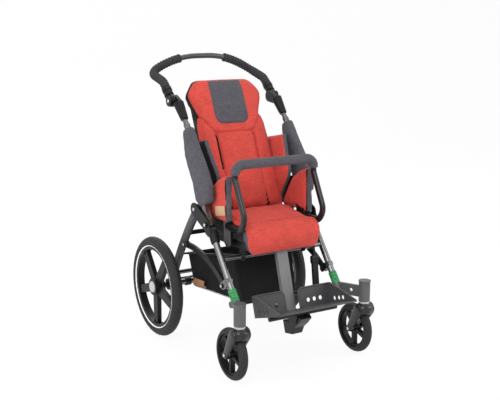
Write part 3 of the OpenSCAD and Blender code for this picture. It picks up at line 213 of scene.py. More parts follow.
BLACK = (0.009, 0.009, 0.010)
DARKMETAL = (0.155, 0.154, 0.157)
RED = cloth_mat("red_heather", (0.63, 0.072, 0.054), (0.41, 0.042, 0.031), sheen=0.05, streak=0.15)
GREY = cloth_mat("grey_heather", (0.100, 0.096, 0.113), (0.043, 0.041, 0.050), sheen=0.05, streak=0.20)
DARKCLOTH = cloth_mat("black_weave", BLACK, (0.005, 0.005, 0.006), thread=2.4, mottling=0.7, sheen=0.04)
WHITECLOTH = cloth_mat("pale_braid", (0.62, 0.62, 0.61), (0.45, 0.45, 0.45), thread=1.8)
# darker red for a thin band along the seat's front seam: painted shade of the seam's groove
SEAM_SHADE_RED = cloth_mat("red_seam_shade", (0.34, 0.030, 0.024), (0.24, 0.020, 0.016), sheen=0.03)
BEIGEPATCH = cloth_mat("beige_patch", (0.56, 0.36, 0.22), (0.46, 0.28, 0.16), thread=1.2, sheen=0.05)
BROWNPATCH = cloth_mat("brown_patch", (0.42, 0.22, 0.11), (0.30, 0.15, 0.07), thread=1.2, sheen=0.05)
METAL = {"grain": 900.0, "bump": 0.03}
PAINT = {"grain": 900.0, "bump": 0.04, "gloss": 0.35}
GRAPHITE = hard("graphite_paint_m", DARKMETAL, 0.24, metal=0.95, coat=0.2, gloss=0.4, **METAL)
SHROUDED = hard("graphite_and_plastic_m", DARKMETAL, 0.24, metal=0.95, gloss=0.22,
                above=(0.878, BLACK, 0.36, 0.0), **METAL)
BOW = hard("plastic_and_graphite_m", BLACK, 0.36, gloss=0.22,
           above=(1.0, (0.085, 0.085, 0.088), 0.32, 0.9), **METAL)
GREYPAINT = hard("grey_paint_m", (0.062, 0.062, 0.064), 0.42, metal=0.35, **PAINT)
POSTGREY = hard("post_grey_m", (0.165, 0.162, 0.166), 0.40, metal=0.3, **PAINT)
HEADGREY = hard("head_grey_m", (0.100, 0.098, 0.100), 0.42, metal=0.3, **PAINT)
BLACKSTEEL = hard("black_steel_m", (0.011, 0.011, 0.012), 0.34, metal=0.1, gloss=0.25)
GLOSSBLACK = hard("gloss_black_m", BLACK, 0.14, coat=0.05, grain=600.0, bevel=1.8, gloss=0.3)
FORK = hard("fork_black_m", (0.010, 0.010, 0.011), 0.22, coat=0.1, grain=600.0, bevel=2.5, gloss=0.4,
            above=(0.2064, (0.42, 0.42, 0.43), 0.40, 0.0))
PLASTIC = hard("moulded_black_m", BLACK, 0.36, grain=600.0, bump=0.05, bevel=1.8, gloss=0.16)
FOOT = hard("footrest_grey_m", (0.058, 0.057, 0.060), 0.46, grain=1400.0, bump=0.18, bevel=1.5, gloss=0.32)
RUBBER = hard("tyre_rubber_m", (0.021, 0.020, 0.022), 0.62, grain=700.0, bump=0.15, bevel=0.8, gloss=0.22)
FOAM = hard("foam_grip_m", (0.030, 0.029, 0.031), 0.75, grain=1500.0, bump=0.35, bevel=0, gloss=0.2)
STEEL = hard("bright_steel_m", (0.60, 0.60, 0.62), 0.26, metal=1.0, grain=400.0, bump=0.03, bevel=0.4)
GREEN = hard("green_sleeve_m", (0.016, 0.20, 0.055), 0.42, grain=260.0, bump=0.06, vary=0.75,
             blotch=130.0, gloss=0.3)
HUB = hard("hub_grey_m", (0.42, 0.42, 0.44), 0.40, grain=500.0, bump=0.03)
STRIPE = hard("white_stripe_m", (0.85, 0.85, 0.84), 0.5, grain=300.0, bump=0.03, bevel=0)

SLOT_MATS = {
    "graphite_paint": GRAPHITE, "dark_plastic": PLASTIC, "black_steel": BLACKSTEEL, "tyre_rubber": RUBBER,
    "foam_grip": FOAM, "bright_steel": STEEL, "red_fabric": RED, "grey_fabric": GREY, "green_sleeve": GREEN,
    "black_fabric": DARKCLOTH, "footrest_plastic": FOOT, "hub_grey": HUB,
}
for part in frame["record"]["subparts"]:
    o = NODES[part["node"]]
    o.data.materials.clear()
    o.data.materials.append(SLOT_MATS[part["material_slot"]])
OWN_MATS = {
    "upper_tube": SHROUDED, "rear_leg": GREYPAINT, "caster_head": HEADGREY, "caster_fork": FORK,
    "bar_post": GLOSSBLACK,
}
for node, material in OWN_MATS.items():
    for side in ("_left", "_right"):
        NODES[node + side].data.materials[0] = material
NODES["handle_bow"].data.materials[0] = BOW
NODES["foot_post"].data.materials[0] = POSTGREY
NODES["axle_pins"].data.materials[0] = BLACKSTEEL


# Mesh helpers


def make(name, verts, faces, material, body, slot, smooth=True):
    """A new piece with outward normals, which notes its body for done, and its slot."""
    me = bpy.data.meshes.new(name)
    me.from_pydata([tuple(v) for v in verts], [], faces)
    me.validate()
    me.update()
    o = place(name, me)
    bm = bmesh.new()
    bm.from_mesh(me)
    bmesh.ops.recalc_face_normals(bm, faces=bm.faces)
    bm.to_mesh(me)
    bm.free()
    if smooth:
        me.shade_smooth()
    me.materials.append(material)
    o["ride_on"] = body
    o["take_slot"] = slot
    return o


def done(o):
    """Puts a finished piece on its body."""
    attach(o, o["ride_on"])
    return o


def loop_faces(rows, n, closed_rows=False, caps=True):
    """Faces between rings of n points, with a cap on the first and last ring."""
    f = []
    last = rows if closed_rows else rows - 1
    for i in range(last):
        a, b = i * n, ((i + 1) % rows) * n
        for j in range(n):
            k = (j + 1) % n
            f.append((a + j, a + k, b + k, b + j))
    if caps and not closed_rows:
        f.append(tuple(range(n - 1, -1, -1)))
        f.append(tuple(range((rows - 1) * n, rows * n)))
    return f


def fillet_path(pts, radii, step):
    """Points every step along a bent centreline with round corners."""
    pts = [Vector(p) for p in pts]
    out = [pts[0]]
    for i in range(1, len(pts) - 1):
        u = (pts[i] - pts[i - 1]).normalized()
        v = (pts[i + 1] - pts[i]).normalized()
        turn = u.angle(v)
        r = radii[i]
        run = r * math.tan(turn / 2)
        a = pts[i] - u * run
        w = (v - u * u.dot(v)).normalized()
        c = a + w * r
        out.append(a)
        count = max(2, int(r * turn / step))
        for k in range(1, count + 1):
            t = turn * k / count
            out.append(c - w * r * math.cos(t) + u * r * math.sin(t))
    out.append(pts[-1])
    lens = [0.0]
    for p, q in zip(out, out[1:]):
        lens.append(lens[-1] + (q - p).length)
    count = max(2, int(lens[-1] / step))
    even, j = [], 0
    for k in range(count + 1):
        s = lens[-1] * k / count
        while j < len(lens) - 2 and lens[j + 1] < s:
            j += 1
        d = lens[j + 1] - lens[j]
        even.append(out[j].lerp(out[j + 1], 0 if d == 0 else (s - lens[j]) / d))
    return even


def sweep(name, path, radius, material, body, slot, n=24):
    """Tube along a path, its radius a function of the run and the angle."""
    verts = []
    side = None
    run = 0.0
    total = sum((q - p).length for p, q in zip(path, path[1:]))
    for i, p in enumerate(path):
        d = (path[min(i + 1, len(path) - 1)] - path[max(i - 1, 0)]).normalized()
        if side is None:
            across = Vector((0, 0, 1)) if abs(d.z) < 0.95 else Vector((1, 0, 0))
            side = d.cross(across).normalized()
        side = (side - d * side.dot(d)).normalized()
        nrm = side.cross(d)
        if i:
            run += (p - path[i - 1]).length
        for k in range(n):
            a = 2 * math.pi * k / n
            r = radius(run, total, a)
            verts.append(p + (side * math.cos(a) + nrm * math.sin(a)) * r)
    return make(name, verts, loop_faces(len(path), n), material, body, slot)


def coords(o):
    co = np.empty(len(o.data.vertices) * 3)
    o.data.vertices.foreach_get("co", co)
    return co.reshape(-1, 3)


def set_coords(o, co):
    o.data.vertices.foreach_set("co", np.asarray(co, float).ravel())
    o.data.update()


def normals(o):
    no = np.empty(len(o.data.vertices) * 3)
    o.data.vertices.foreach_get("normal", no)
    return no.reshape(-1, 3)


def swap_mesh(o):
    """Applies a piece's modifiers and keeps its materials."""
    dg = bpy.context.evaluated_depsgraph_get()
    me = bpy.data.meshes.new_from_object(o.evaluated_get(dg))
    mats = list(o.data.materials)
    o.modifiers.clear()
    o.data = me
    me.materials.clear()
    for s in mats:
        me.materials.append(s)
    me.shade_smooth()


def ease(o, factor, rounds):
    m = o.modifiers.new("ease", "SMOOTH")
    m.factor = factor
    m.iterations = rounds
    swap_mesh(o)


def refit(o, low, high):
    """Stretches a piece along each axis to fill the box from low to high."""
    co = coords(o)
    was_low, was_high = co.min(axis=0), co.max(axis=0)
    set_coords(o, low + (co - was_low) * (high - low) / (was_high - was_low))


def inflate(o, voxel, cap, shrink, pressure=4.0, frames=20):
    """Sews the form into an even skin and lets air pressure swell it, as stuffing does.

    The skin starts shrink inside the form, moves by cap at most and ends in the form's own box.
    """
    box = coords(o).min(axis=0), coords(o).max(axis=0)
    set_coords(o, coords(o) - normals(o) * shrink * MM)
    m = o.modifiers.new("skin", "REMESH")
    m.mode = "VOXEL"
    m.voxel_size = voxel * MM
    swap_mesh(o)
    ease(o, 0.5, 4)
    rest = coords(o)
    m = o.modifiers.new("cloth", "CLOTH")
    st = m.settings
    st.quality = 5
    st.mass = 0.3
    st.tension_stiffness = 15
    st.compression_stiffness = 15
    st.shear_stiffness = 5
    st.bending_stiffness = 0.5
    st.use_pressure = True
    st.uniform_pressure_force = pressure
    st.effector_weights.gravity = 0
    m.collision_settings.use_collision = False
    m.point_cache.frame_start = 1
    m.point_cache.frame_end = frames
    sc = bpy.context.scene
    for f in range(1, frames + 1):
        sc.frame_set(f)
    dg = bpy.context.evaluated_depsgraph_get()
    move = coords(o.evaluated_get(dg)) - rest
    size = np.linalg.norm(move, axis=1, keepdims=True)
    move *= np.minimum(1, cap * MM / np.maximum(size, 1e-9))
    o.modifiers.clear()
    set_coords(o, rest + move)
    sc.frame_set(1)
    ease(o, 0.4, 2)
    refit(o, *box)


def subdivide(o):
    m = o.modifiers.new("fine", "SUBSURF")
    m.levels = 1
    m.render_levels = 1
    swap_mesh(o)


def roll(u, p):
    """Round shoulder of a cushion: 1 in the middle, 0 at its edge."""
    return math.sqrt(max(0.0, 1 - abs(u) ** p))


def closed_grid(name, outer, inner, nv, nu, material, body, slot):
    """Closed form between two grids of points, joined round their rims."""
    k, m = len(outer), nu + 1
    f = []
    for i in range(nv):
        for j in range(nu):
            a = i * m + j
            f.append((a, a + 1, a + m + 1, a + m))
            f.append((k + a, k + a + m, k + a + m + 1, k + a + 1))
    ring = list(range(m)) + [i * m + nu for i in range(1, nv + 1)]
    ring += [nv * m + j for j in range(nu - 1, -1, -1)] + [i * m for i in range(nv - 1, 0, -1)]
    for p, q in zip(ring, ring[1:] + ring[:1]):
        f.append((p, k + p, k + q, q))
    return make(name, outer + inner, f, material, body, slot)


def tint(o, material, where):
    """Gives another cloth to the faces picked by their centre and normal."""
    o.data.materials.append(material)
    index = len(o.data.materials) - 1
    for p in o.data.polygons:
        if where(p.center, p.normal):
            p.material_index = index


def gauss(x, w):
    return np.exp(-((x / w) ** 2))


def mirrored(o, name):
    """The same piece on the other side, on the same body."""
    me = o.data.copy()
    c = place(name, me)
    me.transform(Matrix.Diagonal((-1, 1, 1, 1)))
    me.flip_normals()
    for note in ("ride_on", "take_slot"):
        c[note] = o[note]
    return c


# Seat cushion


def section(w, t, corner, low, crown, n_top=26, n_side=5, n_corner=6, n_low=12):
    """Closed cushion cross-section: flat base, rounded shoulders, crowned top."""
    pts = []
    low = min(low, t * 0.45)
    corner = min(corner, t - low - 0.5, w * 0.45)

    def arc(x, h, r, first):
        for k in range(n_corner):
            a = first + math.pi / 2 * k / n_corner
            pts.append((x + r * math.cos(a), h + r * math.sin(a)))

    for k in range(n_low):
        pts.append((-w + low + 2 * (w - low) * k / n_low, 0.0))
    arc(w - low, low, low, -math.pi / 2)
    for k in range(n_side):
        pts.append((w, low + (t - corner - low) * k / n_side))
    arc(w - corner, t - corner, corner, 0.0)
    for k in range(n_top):
        pts.append((w - corner - 2 * (w - corner) * k / n_top, t))
    arc(-w + corner, t - corner, corner, math.pi / 2)
    for k in range(n_side):
        pts.append((-w, t - corner - (t - corner - low) * k / n_side))
    arc(-w + low, low, low, math.pi)
    out = []
    for x, h in pts:
        lift = crown * max(0.0, 1 - (x / w) ** 2) if h > t * 0.5 else 0.0
        out.append((x, h + lift * (h / t)))
    return out


def table(v, rows):
    """The values between a table's rows, whose first column is v."""
    xs = [r[0] for r in rows]
    return [float(np.interp(v, xs, [r[k] for r in rows])) for k in range(1, len(rows[0]))]


SEAT_BASE = 461.4
SEAT_ROWS = [  # share, y, z, tilt, thickness, half width
    (0.00, 11, SEAT_BASE, 0, 69, 152), (0.03, 10, SEAT_BASE, 0, 76, 157), (0.30, -60, SEAT_BASE, 0, 76, 158),
    (0.60, -168, SEAT_BASE, 0, 60, 159), (0.72, -203, SEAT_BASE, 22, 58, 160),
    (0.79, -216, SEAT_BASE, 48, 43, 161), (0.86, -222, 453, 76, 29, 161), (0.94, -226, 432, 90, 23, 153),
    (1.0, -228, 412, 90, 19, 135),
]
# the seam across the front edge, and the pan under the cushion, in metres
SEAT_SEAM_Y, SEAT_SEAM_Z = -0.189, 0.49
PAN_FRONT, PAN_TOP = -0.212, 0.4613


def seat_cushion():
    verts, count = [], 46
    for i in range(count + 1):
        v = i / count
        y, z, tilt, t, w = table(v, SEAT_ROWS)
        a = math.radians(tilt)
        crown = 5 * (1 - v)
        end = min(1.0, 0.9 + 3 * v) if v < 0.034 else 1.0
        sec = section(w * end, t * end, 12, 7, crown)
        n = len(sec)
        for x, h in sec:
            verts.append(at(x, y - h * math.sin(a), z + h * math.cos(a)))
    o = make("seat_pad", verts, loop_faces(count + 1, n), RED, "chassis", "red_fabric")
    inflate(o, voxel=5.5, cap=6.0, shrink=3.0)
    subdivide(o)
    co, no = coords(o), normals(o)
    x, y, z = co[:, 0], co[:, 1] - SHIFT, co[:, 2]
    from_seam = y - SEAT_SEAM_Y
    top = z > 0.475
    depth = np.zeros(len(co))
    # the front seam with its tuck in the middle, and the border seam
    depth += 8.5 * MM * gauss(from_seam, 0.0055) * (z > SEAT_SEAM_Z)
    depth += 5.0 * MM * gauss(np.hypot(x, from_seam * 1.4), 0.014) * (z > SEAT_SEAM_Z)
    depth += 2.2 * MM * gauss(np.abs(x) - 0.137, 0.004) * top * (y > -0.20)
    depth += 2.0 * MM * gauss(np.abs(x) - 0.139, 0.004) * (y < -0.20) * (z > 0.43)
    # soft hollows where a child sits
    depth += 4.0 * MM * gauss(np.hypot((np.abs(x) - 0.055) / 1.2, y + 0.05), 0.055) * top
    ripple = 0.6 * MM * np.sin(x * 190 + np.sin(y * 60) * 2) * gauss(from_seam, 0.022) * (z > 0.48)
    co = co - no * (depth + ripple)[:, None]
    over_pan = co[:, 1] - SHIFT > PAN_FRONT
    co[:, 2] = np.where(over_pan, np.maximum(co[:, 2], PAN_TOP), co[:, 2])
    set_coords(o, co)

    # thin band along the front seam that takes the darker red, as painted shade of its groove
    def in_seam_shade(c, n):
        near = abs(c.y - SHIFT - SEAT_SEAM_Y) < 0.0018
        return near and c.z > SEAT_SEAM_Z and abs(c.x) < 0.139

    tint(o, DARKCLOTH, lambda c, n: abs(n.x) > 0.78 or n.z < -0.7)
    tint(o, SEAM_SHADE_RED, in_seam_shade)
    tint(o, GREY, lambda c, n: c.z < 0.4155 or (c.y - SHIFT < -0.21 and 0.62 < abs(n.x)))
    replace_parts(done(o), "seat_cushion")


# Backrest

LEAN = math.radians(23.6)
BACK_PIN = (52.0, 492.0)


def back_at(x, n, v):
    """Point on the backrest: across, forward of its hinge plane, and up along it."""
    y = BACK_PIN[0] + v * math.sin(LEAN) - n * math.cos(LEAN)
    z = BACK_PIN[1] + v * math.cos(LEAN) + n * math.sin(LEAN)
    return at(x, y, z)


def back_local(co):
    """The way back from back_at, for rows of points in metres."""
    y, z = (co[:, 1] - SHIFT) / MM - BACK_PIN[0], co[:, 2] / MM - BACK_PIN[1]
    return co[:, 0] / MM, -y * math.cos(LEAN) + z * math.sin(LEAN), y * math.sin(LEAN) + z * math.cos(LEAN)


# the cushion's ends, its half width and thickness along the back, and the shell's front face
BACK_LOW, BACK_HIGH = 15.0, 543.0
BACK_FACE = 26.4
BACK_HALF = [(15, 150), (26, 157), (60, 160), (310, 158), (352, 156), (384, 147), (400, 144), (424, 152),
             (452, 161), (476, 164), (490, 160), (506, 149), (522, 137), (534, 128), (543, 116)]
BACK_THICK = [(15, 28), (24, 39), (46, 44), (300, 44), (316, 43), (420, 44), (505, 41), (529, 36), (543, 26)]
SLIT_X, WAIST_X = 84.0, 144.0
SEAM_V, SEAM_EDGE_V = 322.0, 400.0


def back_cushion():
    verts, count = [], 64
    for i in range(count + 1):
        v = BACK_LOW + (BACK_HIGH - BACK_LOW) * i / count
        w, = table(v, BACK_HALF)
        t, = table(v, BACK_THICK)
        sec = section(w, t, 15, 7, 8)
        n = len(sec)
        for x, h in sec:
            verts.append(back_at(x, BACK_FACE + h, v))
    o = make("back_pad", verts, loop_faces(count + 1, n), RED, "backrest", "red_fabric")
    inflate(o, voxel=5.5, cap=6.0, shrink=3.0)
    subdivide(o)
    co, no = coords(o), normals(o)
    x, nn, v = back_local(co)
    front = nn > 50
    half = np.interp(v, *zip(*BACK_HALF))
    out = np.clip((np.abs(x) - SLIT_X) / (WAIST_X - SLIT_X), 0, 1)
    seam = SEAM_V + (SEAM_EDGE_V - SEAM_V) * out
    # the slits, half as deep in the lower middle, then the seams and their ripples
    share = np.where((v > 60) & (v < 175), 0.5, 1)
    depth = 13 * gauss(np.abs(x) - SLIT_X, 5.5) * (v < SEAM_V - 4) * (v > 30) * share
    depth += 6.5 * gauss((v - seam) * np.where(out > 0, 0.61, 1.0), 5)
    depth += 5.0 * gauss(np.hypot(np.abs(x) - SLIT_X, v - SEAM_V), 11)
    depth += 2.2 * gauss(np.abs(x) - half + 15, 3.5)
    depth += 0.8 * np.sin(x / 6.5 + np.sin(v / 25) * 1.5) * gauss(v - seam, 20)
    depth += 0.9 * np.sin(v / 8 + np.sin(x / 30)) * gauss(np.abs(x) - SLIT_X, 24) * (v < SEAM_V)
    co = co - no * (depth * front * MM)[:, None]
    set_coords(o, co)

    # the open stretch of the slit on the right-hand side takes the black cloth, painted shade inside the open
    # slot; a narrowing wedge at the foot of each slit takes it too
    def slit(c, nrm):
        px, pn, pv = back_local(np.array([c]))
        off, up = abs(abs(px[0]) - SLIT_X), pv[0]
        open_slot_shade = off < 4.0 and 176 < up < SEAM_V - 10 and px[0] < 0
        return pn[0] > 45 and (open_slot_shade or off < 6 * (66 - up) / 50)

    def border(c, nrm):
        px, pn, pv = back_local(np.array([c]))
        edge = float(np.interp(pv[0], *zip(*BACK_HALF))) - abs(px[0])
        return nrm.y > 0.6 or (pn[0] < 56 and edge < 10)

    tint(o, DARKCLOTH, lambda c, nrm: border(c, nrm) or slit(c, nrm))
    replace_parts(done(o), "back_cushion")
    return o


def head_insert(back):
    """Grey panel sewn over the headrest, running over its top edge."""
    nu, nv = 20, 30
    low, high, wide, foot, hem = 356.0, 537.0, 77, 46, 7

    def half(v):
        t = min(1.0, (v - low) / foot)
        rounding = 0.62 + 0.38 * math.sqrt(max(0.0, 1 - (1 - t) ** 2))
        return wide * rounding * (1 - 0.05 * (v - low) / (high - low))

    grid = []
    for i in range(nv + 1):
        v = low + (high - low) * i / nv
        for j in range(nu + 1):
            grid.append(((2 * j / nu - 1) * half(v), v))
    x, nn, v = back_local(coords(back))
    keep = nn > 34
    x, nn, v = x[keep], nn[keep], v[keep]
    front, rear = [], []
    for a, b in grid:
        d = np.hypot(x - a, v - b)
        near = np.argsort(d)[:6]
        wts = 1 / (d[near] + 0.5)
        h = float((nn[near] * wts).sum() / wts.sum())
        edge = min(1.0, (half(b) - abs(a)) / hem, (b - low) / hem)
        front.append(back_at(a, h + 0.8 + 4.2 * math.sqrt(max(0.0, edge)), b))
        rear.append(back_at(a, h - 3.0, b))
    o = closed_grid("head_panel", front, rear, nv, nu, GREY, "backrest", "grey_fabric")
    subdivide(o)
    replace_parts(done(o), "head_insert")


# Hip and thorax pads

# the hip pads also cover the plates that carry them, which end at 161 mm
HIP_X, HIP_OUT_X = 159.0, 199.5
HIP_RUN = [(0, 0.96), (0.07, 1.01), (0.2, 0.975), (0.44, 0.85), (0.58, 0.755), (0.72, 0.65), (0.88, 0.43),
           (1, 0.11)]
# outline of the black sheet that stands for the shaded gap behind each hip pad: painted shade
GAP_SHADE_X = (178, 182)
GAP_SHADE = [(-70, 645), (-8, 645), (10, 622), (25, 600), (40, 570), (50, 540), (50, 528), (-70, 528)]


def hip_pads():
    front, low, run, high, thick = -152.0, 522.0, 166.0, 169.0, 39.7
    nv, nu = 30, 30
    outer, inner = [], []
    for i in range(nv + 1):
        v = i / nv
        length = run * table(v, HIP_RUN)[0]
        for j in range(nu + 1):
            u = 2 * j / nu - 1
            k = 0.86 + 0.14 * roll(u, 4) if u < 0 else 0.40 + 0.60 * roll(u, 4)
            h = thick * (0.62 + 0.38 * roll(2 * v - 1, 6)) * k
            y, z = front + (u + 1) / 2 * length, low + v * high
            outer.append(at(HIP_X + h, y, z))
            inner.append(at(HIP_X, y, z))
    o = closed_grid("hip_pad_l", outer, inner, nv, nu, RED, "chassis", "red_fabric")
    inflate(o, voxel=4.5, cap=4.0, shrink=2.0)
    subdivide(o)
    co = coords(o)
    co[:, 0] = np.clip(co[:, 0], HIP_X * MM, HIP_OUT_X * MM)
    set_coords(o, co)
    edge = front * MM + SHIFT + 0.010
    tint(o, DARKCLOTH, lambda c, n: c.y < edge)
    tint(o, GREY, lambda c, n: c.y < edge and n.y < -0.4 and HIP_X + 8 < c.x / MM < 190)
    c = mirrored(o, "hip_pad_r")
    for piece, node in ((o, "hip_pad_left"), (c, "hip_pad_right")):
        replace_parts(done(piece), node)
    # black sheet beside each hip pad, reaching back beside the thorax pad: painted shade, a dark sheet that
    # fills the shaded gap between the two pads
    for sign, tag in SIDES:
        verts = [at(sign * x, y, z) for x in GAP_SHADE_X for y, z in GAP_SHADE]
        faces = loop_faces(2, len(GAP_SHADE))
        done(make("hip_gap_shade_" + tag, verts, faces, DARKCLOTH, "chassis", "black_fabric", smooth=False))
    corners = [(-78, 536), (-144, 549), (-144, 586), (-78, 574)]
    patch("hip_patch", c, corners, BEIGEPATCH, "chassis", "red_fabric")


def patch(name, o, corners, material, body, slot, nu=14, nv=8):
    """Bare cloth patch sewn on the right-hand face of a piece, given by four corners in the side view."""
    co = coords(o)
    co = co[co[:, 0] < -0.1]
    quad = [Vector(c) for c in corners]
    outer, inner = [], []
    for i in range(nv + 1):
        for j in range(nu + 1):
            q = quad[0].lerp(quad[1], j / nu).lerp(quad[3].lerp(quad[2], j / nu), i / nv)
            d = np.hypot(co[:, 1] - q.x * MM - SHIFT, co[:, 2] - q.y * MM)
            near = np.argsort(d + 4 * (co[:, 0] - co[:, 0].min()))[:3]
            x = float(co[near, 0].mean()) / MM
            rim = min(i, nv - i, j, nu - j)
            outer.append(at(x - (0.7 if rim == 0 else 1.3), q.x, q.y))
            inner.append(at(x + 0.8, q.x, q.y))
    done(closed_grid(name, outer, inner, nv, nu, material, body, slot))


# above their bend the thorax pads spread outwards
PAD_LOW_X, PAD_OUT_X, PAD_SPREAD, PAD_BEND_V = 143.0, 200.0, 0.123, 110
THORAX_DEPTH = [(0, 0.11), (0.10, 0.23), (0.215, 0.52), (0.275, 0.69), (0.34, 0.86), (0.43, 0.985),
                (0.55, 1), (0.7, 0.96), (1, 0.94)]


def thorax_pads():
    n0, v0, length, deep, slope, thick = 26.6, 13.0, 291.0, 130.0, 30.0, 27.0
    nv, nu = 36, 24
    outer, inner = [], []
    for i in range(nv + 1):
        v = i / nv
        d, = table(v, THORAX_DEPTH)
        for j in range(nu + 1):
            u = 2 * j / nu - 1
            reach = (u + 1) / 2 * d
            h = thick * (0.86 + 0.14 * roll(u, 4) * roll(2 * v - 1, 6))
            n, up = n0 + reach * deep, v0 + v * (length - reach * slope)
            x = PAD_LOW_X + PAD_SPREAD * max(0.0, up - PAD_BEND_V)
            outer.append(back_at(x + h, n, up))
            inner.append(back_at(x, n, up))
    o = closed_grid("thorax_pad_l", outer, inner, nv, nu, RED, "backrest", "red_fabric")
    inflate(o, voxel=4.5, cap=3.5, shrink=2.0)
    subdivide(o)
    co = coords(o)
    co[:, 0] = np.clip(co[:, 0], PAD_LOW_X * MM, PAD_OUT_X * MM)
    set_coords(o, co)
    tint(o, GREY, lambda c, n: -0.62 < n.x <= 0.7)
    # the outer face takes the black cloth: painted shade of the narrow gap between pad and wing
    tint(o, DARKCLOTH, lambda c, n: n.x > 0.7)
    c = mirrored(o, "thorax_pad_r")
    for piece, node in ((o, "thorax_pad_left"), (c, "thorax_pad_right")):
        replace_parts(done(piece), node)


# Side wings

UPPER_LEAN = math.radians(25.4)
UP = Vector((math.sin(UPPER_LEAN), math.cos(UPPER_LEAN)))
BACKWARD = Vector((UP.y, -UP.x))
UPPER_LEN = 373.0
WING_FRONT = [(0, 0.145), (0.18, 0.2), (0.43, 0.172), (0.54, 0.15), (0.8, 0.096), (1, 0.058)]
WING_BACK = [(0, 0.06), (0.12, 0.13), (0.33, 0.11), (0.54, 0.135), (0.71, 0.14), (0.88, 0.09), (1, 0.058)]


def side_wings():
    nv, nu, low, thick = 90, 36, 0.195, 18.3
    sides = {1: [], -1: []}
    for i in range(nv + 1):
        v = i / nv
        ahead, = table(v, WING_FRONT)
        behind, = table(v, WING_BACK)
        ends = 1 - 0.30 * math.exp(-(v / 0.018) ** 2) - 0.22 * math.exp(-((1 - v) / 0.018) ** 2)
        for j in range(nu + 1):
            u = 2 * j / nu - 1
            across = (u + 1) / 2 * (ahead + behind) - ahead
            q = PIVOT + UPPER_LEN * ((low + v * (1 - low)) * UP + across * BACKWARD)
            h = thick * (0.34 + 0.66 * roll(u, 4)) * ends
            hem = 1.1 * math.exp(-((abs(u) - 0.9) / 0.03) ** 2) + 0.9 * math.exp(-((v - 0.04) / 0.008) ** 2)
            hem += 0.9 * math.exp(-((v - 0.96) / 0.008) ** 2)
            fold = 0.55 * math.sin(v * 46 + u * 2.4 + 1.5 * math.sin(v * 9)) * roll(u, 2)
            for sign in (1, -1):
                sides[sign].append(at(SIDE_X + sign * (h - hem + fold), q.x, q.y))
    o = closed_grid("wing_l", sides[1], sides[-1], nv, nu, GREY, "push_frame", "grey_fabric")
    subdivide(o)
    c = mirrored(o, "wing_r")
    for piece, node in ((o, "side_wing_left"), (c, "side_wing_right")):
        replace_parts(done(piece), node)


# Grab bar sleeve and grips


def bar_sleeve():
    x, y, low, high = 172, -178, 701, 737
    pts = [at(x, y, low), at(x, y, high), at(-x, y, high), at(-x, y, low)]
    path = fillet_path(pts, [0, 0.034, 0.034, 0], 0.0025)

    def radius(run, total, a):
        end = min(run, total - run)
        r = 17.6 - 1.6 * math.exp(-((end / MM - 6) / 3.0) ** 2) - (4 if end < 0.0008 else 0)
        bend = math.exp(-((end - 0.055) / 0.028) ** 2)
        wrinkles = bend * math.sin(run * 760 + 1.6 * math.sin(a + 0.6))
        r += 0.35 * math.sin(run * 520 + 2.5 * math.sin(a)) + wrinkles
        r -= 0.9 * math.exp(-(((a - 4.5) % (2 * math.pi)) / 0.10) ** 2)
        return r * MM

    o = sweep("bar_cover", path, radius, GREY, "grab_bar", "grey_fabric", n=36)
    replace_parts(done(o), "grab_bar_sleeve")


def handle_points():
    """Corner points of the push bow on the left: grip start, elbow, corner and shoulder."""
    back, rise, drop, grip_start, elbow_share = 181.0, 161.0, 62.0, 64, 0.39
    corner_x, shoulder_x = 234, 112
    arm = Vector((0, math.cos(ARM_LEAN), math.sin(ARM_LEAN)))
    hinge = Vector((ARM_X, *HINGE))
    elbow = hinge + arm * (elbow_share * back / math.cos(ARM_LEAN))
    corner = Vector((corner_x, HINGE.x + back, HINGE.y + rise - drop))
    shoulder = Vector((shoulder_x, HINGE.x + back - 2, HINGE.y + rise))
    return hinge + arm * grip_start, elbow, corner, shoulder


def grips():
    low, elbow, corner, shoulder = handle_points()
    far = Vector((-shoulder.x, shoulder.y, shoulder.z))
    bends, grip_end, pitch = [0, 0.060, 0.048, 0.370, 0], 0.100, 0.0125
    for sign, node in ((1, "grip_left"), (-1, "grip_right")):
        pts = [at(sign * p.x, p.y, p.z) for p in (low, elbow, corner, shoulder, far)]
        path = [q for q in fillet_path(pts, bends, 0.0013) if sign * q.x > grip_end]

        def radius(run, total, ang):
            end = min(run, total - run) / MM
            rib = 2.6 * (0.5 + 0.5 * math.cos(2 * math.pi * run / pitch)) if end > 9 else 0.0
            return (17.8 - rib - 2.2 * math.exp(-(end / 1.6) ** 2)) * MM

        o = sweep(node + "_foam", path, radius, FOAM, "handle", "foam_grip", n=28)
        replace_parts(done(o), node)


# Basket


